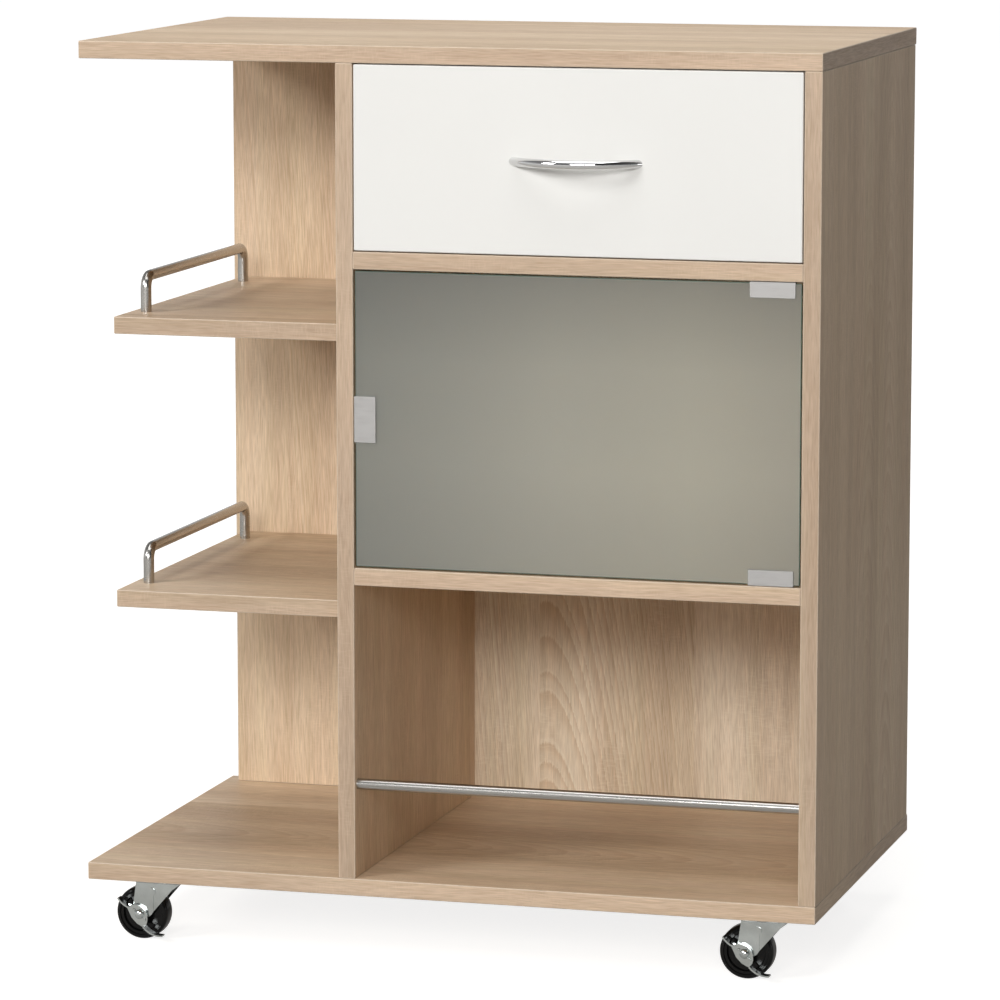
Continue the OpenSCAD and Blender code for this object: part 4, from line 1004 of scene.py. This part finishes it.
class CART_OT_fittings(CartOperator, bpy.types.Operator):
    """Screws with cross recesses, cam fittings and dowels"""

    bl_idname = "cart.fittings"
    bl_label = "Fittings"

    def execute(self, context):
        look = settings("metals")
        zinc = plated("bright zinc", look.zinc, 0.3, 90.0)
        for node in ("cam_fittings", "drawer_cams", "base_screws", "clamp_screws"):
            dress(node, zinc)
        dress("wood_dowels", plain_wood("beech", (0.6, 0.42, 0.25)))
        tree = screw_tree()
        for node in ("panel_screws", "rail_screws", "drawer_screws", "handle_screws"):
            self.screws(node, tree, zinc)
        return {"FINISHED"}

    def screws(self, node, tree, zinc):
        """One mesh for a node's screws, each in its own place, alike screws from one model."""
        head_height = 0.0022
        shank = 0.0016 if node == "handle_screws" else 0.002
        kinds = {}
        for points in loose_solids(node):
            head, direction, length_all, radius = screw_facts(points)
            domed = node == "handle_screws" or (node == "panel_screws" and direction.z > 0.5)
            kind = (round(length_all, 4), round(radius, 4), domed)
            kinds.setdefault(kind, []).append((head, direction))
        parts = []
        for number, ((length_all, radius, domed), places) in enumerate(sorted(kinds.items())):
            model = cross_screw("screw_model", length_all, radius, head_height, shank, domed)
            screw = new_object("screw_model", model)
            start = bpy.data.meshes.new(node + "_places")
            start.from_pydata([head for head, direction in places], [], [])
            turn = start.attributes.new("turn", "FLOAT_VECTOR", "POINT")
            for index, (head, direction) in enumerate(places):
                turn.data[index].vector = direction.to_track_quat("Z", "Y").to_euler()
            parts.append(tree.grow(f"{node}_{number}", start, {"Screw": screw, "Material": zinc}))
            bpy.data.objects.remove(screw)
        piece = parts[0]
        if len(parts) > 1:
            with bpy.context.temp_override(
                active_object=piece, selected_objects=parts, selected_editable_objects=parts
            ):
                bpy.ops.object.join()
        piece.name = node + "_crossed"
        belong(piece, node)


class CART_OT_casters(CartOperator, bpy.types.Operator):
    """Plated forks, plates, axles and brake levers, and glossy black wheels"""

    bl_idname = "cart.casters"
    bl_label = "Casters"

    def execute(self, context):
        zinc = plated("zinc plated sheet", settings("metals").zinc, 0.22, 45.0, 0.25, 1.8)
        rivet = plated("zinc plated rivet", settings("metals").zinc, 0.16, 80.0, 0.15, 0.4)
        black = moulded("glossy black wheel", (0.004, 0.004, 0.004), 0.16, 0.03, 0.26)
        for caster in CASTERS:
            smoothed(caster + "_caster_plate", zinc)
            smoothed(caster + "_caster_fork", zinc)
            smoothed(caster + "_caster_axle", rivet)
            smoothed(caster + "_caster_wheel", black)
        for caster in ("front_left", "front_right"):
            smoothed(caster + "_brake_lever", rivet, 25.0)
        return {"FINISHED"}


class CART_OT_stage(CartOperator, bpy.types.Operator):
    """Pale floor, soft lights and the camera"""

    bl_idname = "cart.stage"
    bl_label = "Stage"

    def execute(self, context):
        stage = settings("stage")
        self.floor(tuple(stage.floor_colour))
        self.world(stage.ambient, tuple(stage.ambient_tint))
        for name, place, width, height, power in LAMPS:
            lamp = self.lamp(name, place, width, height, power * stage.light)
            # The worktop would mirror this lamp into the front view
            lamp.visible_glossy = name != "back light"
        self.camera(stage.focal)
        context.scene.view_settings.view_transform = "Standard"
        return {"FINISHED"}

    def seen_directly(self, nodes):
        """1 for rays from the camera, mirrors and glass."""
        ray = nodes.add("ShaderNodeLightPath").outputs
        either = nodes.maths("MAXIMUM", ray["Is Camera Ray"], ray["Is Glossy Ray"])
        return nodes.maths("MAXIMUM", either, ray["Is Transmission Ray"])

    def floor(self, tone):
        """Matt floor that glows white to the camera, and less near the cart and in mirrors."""
        mesh = bmesh.new()
        bmesh.ops.create_grid(mesh, x_segments=2, y_segments=2, size=60.0)
        data = bpy.data.meshes.new("floor")
        mesh.to_mesh(data)
        mesh.free()
        floor = new_object("floor", data)
        matt = Finish("pale floor", 1.0)
        matt.set(matt.shader, {"Base Color": (*tone, 1.0), "Specular IOR Level": 0.0})
        aside = matt.stretched((1.0, 1.0, 1.0), (-2.0, -3.0, 0.0))
        levels = []
        for place, near, far, lowest in ((matt.place, 0.7, 4.0, 0.83), (aside, 1.0, 25.0, 0.12)):
            away = matt.add("ShaderNodeVectorMath", {0: place}, operation="LENGTH")
            away = away.outputs["Value"]
            span = {"From Min": near, "From Max": far, "To Min": lowest, "Value": away}
            level = matt.add("ShaderNodeMapRange", span, interpolation_type="SMOOTHSTEP")
            levels.append(level.outputs[0])
        camera_ray = matt.add("ShaderNodeLightPath").outputs["Is Camera Ray"]
        level = matt.add("ShaderNodeMix", {0: camera_ray, 2: levels[1], 3: levels[0]}).outputs[0]
        shown = matt.maths("MULTIPLY", level, self.seen_directly(matt))
        glow = matt.add("ShaderNodeEmission", {"Strength": shown}).outputs[0]
        both = matt.add("ShaderNodeAddShader", {0: matt.shader.outputs[0], 1: glow}).outputs[0]
        matt.set(matt.own("OUTPUT_MATERIAL"), {"Surface": both})
        data.materials.append(matt.material)

    def world(self, ambient, tint):
        """White to the camera, darker overhead in mirrors, and a soft warm light for the rest."""
        world = bpy.data.worlds.new("studio")
        bpy.context.scene.world = world
        world.use_nodes = True
        sky = Nodes(world.node_tree)
        soft = sky.own("BACKGROUND")
        sky.set(soft, {"Color": (*tint, 1.0), "Strength": ambient})
        view = sky.add("ShaderNodeTexCoord").outputs["Generated"]
        part = sky.add("ShaderNodeSeparateXYZ", {0: view}).outputs
        mirrored = 1.0
        for axis, start, end, first, last in (
            ("Z", 0.12, 0.55, 0.8, 0.24),
            ("X", -0.15, 0.35, 1.0, 0.3),
            ("Y", -0.9, -0.1, 0.3, 1.0),
        ):
            span = {"From Min": start, "From Max": end, "To Min": first, "To Max": last}
            level = sky.add("ShaderNodeMapRange", {**span, "Value": part[axis]}).outputs[0]
            mirrored = sky.maths("MULTIPLY", mirrored, level)
        camera_ray = sky.add("ShaderNodeLightPath").outputs["Is Camera Ray"]
        level = sky.maths("MAXIMUM", mirrored, camera_ray)
        values = {"Color": (1.0, 1.0, 1.0, 1.0), "Strength": level}
        white = sky.add("ShaderNodeBackground", values).outputs[0]
        choice = {0: self.seen_directly(sky), 1: soft.outputs[0], 2: white}
        chosen = sky.add("ShaderNodeMixShader", choice).outputs[0]
        sky.set(sky.own("OUTPUT_WORLD"), {"Surface": chosen})

    def lamp(self, name, place, width, height, power):
        data = bpy.data.lights.new(name, "AREA")
        data.shape = "RECTANGLE"
        data.size = width
        data.size_y = height
        data.energy = power
        lamp = new_object(name, data)
        lamp.location = place
        lamp.visible_camera = False
        aim = Vector(LAMPS_FACE) - Vector(place)
        lamp.rotation_euler = aim.to_track_quat("-Z", "Y").to_euler()
        return lamp

    def camera(self, focal):
        data = bpy.data.cameras.new("camera")
        data.sensor_width = 36.0
        data.lens = focal
        data.clip_end = 200.0
        camera = new_object("camera", data)
        camera.location = CAMERA_PLACE
        camera.rotation_euler = (math.radians(90 - CAMERA_DOWN), 0.0, math.radians(CAMERA_TURN))
        bpy.context.scene.camera = camera


class CART_PT_panel(bpy.types.Panel):
    """Lists the steps that finish the cart"""

    bl_idname = "CART_PT_panel"
    bl_label = "Kitchen Cart"
    bl_space_type = "VIEW_3D"
    bl_region_type = "UI"
    bl_category = "Kitchen Cart"

    def draw(self, context):
        for step in STEPS:
            self.layout.operator(step.bl_idname)
        for name, group in SETTINGS.items():
            box = self.layout.box()
            box.label(text=name.replace("_", " ").capitalize())
            for key in group.__annotations__:
                box.prop(settings(name), key)


SETTINGS = {
    "boards": CartBoardSettings,
    "drawer": CartDrawerSettings,
    "glass": CartGlassSettings,
    "metals": CartMetalSettings,
    "stage": CartStageSettings,
}
STEPS = (
    CART_OT_boards,
    CART_OT_back_panel,
    CART_OT_drawer,
    CART_OT_glass_door,
    CART_OT_rails,
    CART_OT_handle,
    CART_OT_runners,
    CART_OT_fittings,
    CART_OT_casters,
    CART_OT_stage,
)


def register():
    for name, group in SETTINGS.items():
        bpy.utils.register_class(group)
        setattr(bpy.types.Scene, "cart_" + name, bpy.props.PointerProperty(type=group))
    for step in STEPS:
        bpy.utils.register_class(step)
    bpy.utils.register_class(CART_PT_panel)


def unregister():
    bpy.utils.unregister_class(CART_PT_panel)
    for step in reversed(STEPS):
        bpy.utils.unregister_class(step)
    for name, group in SETTINGS.items():
        delattr(bpy.types.Scene, "cart_" + name)
        bpy.utils.unregister_class(group)


def main():
    register()
    for step in STEPS:
        group, name = step.bl_idname.split(".")
        result = getattr(getattr(bpy.ops, group), name)()
        if result != {"FINISHED"}:
            raise RuntimeError(step.bl_label + " did not finish")


if __name__ == "__main__":
    main()
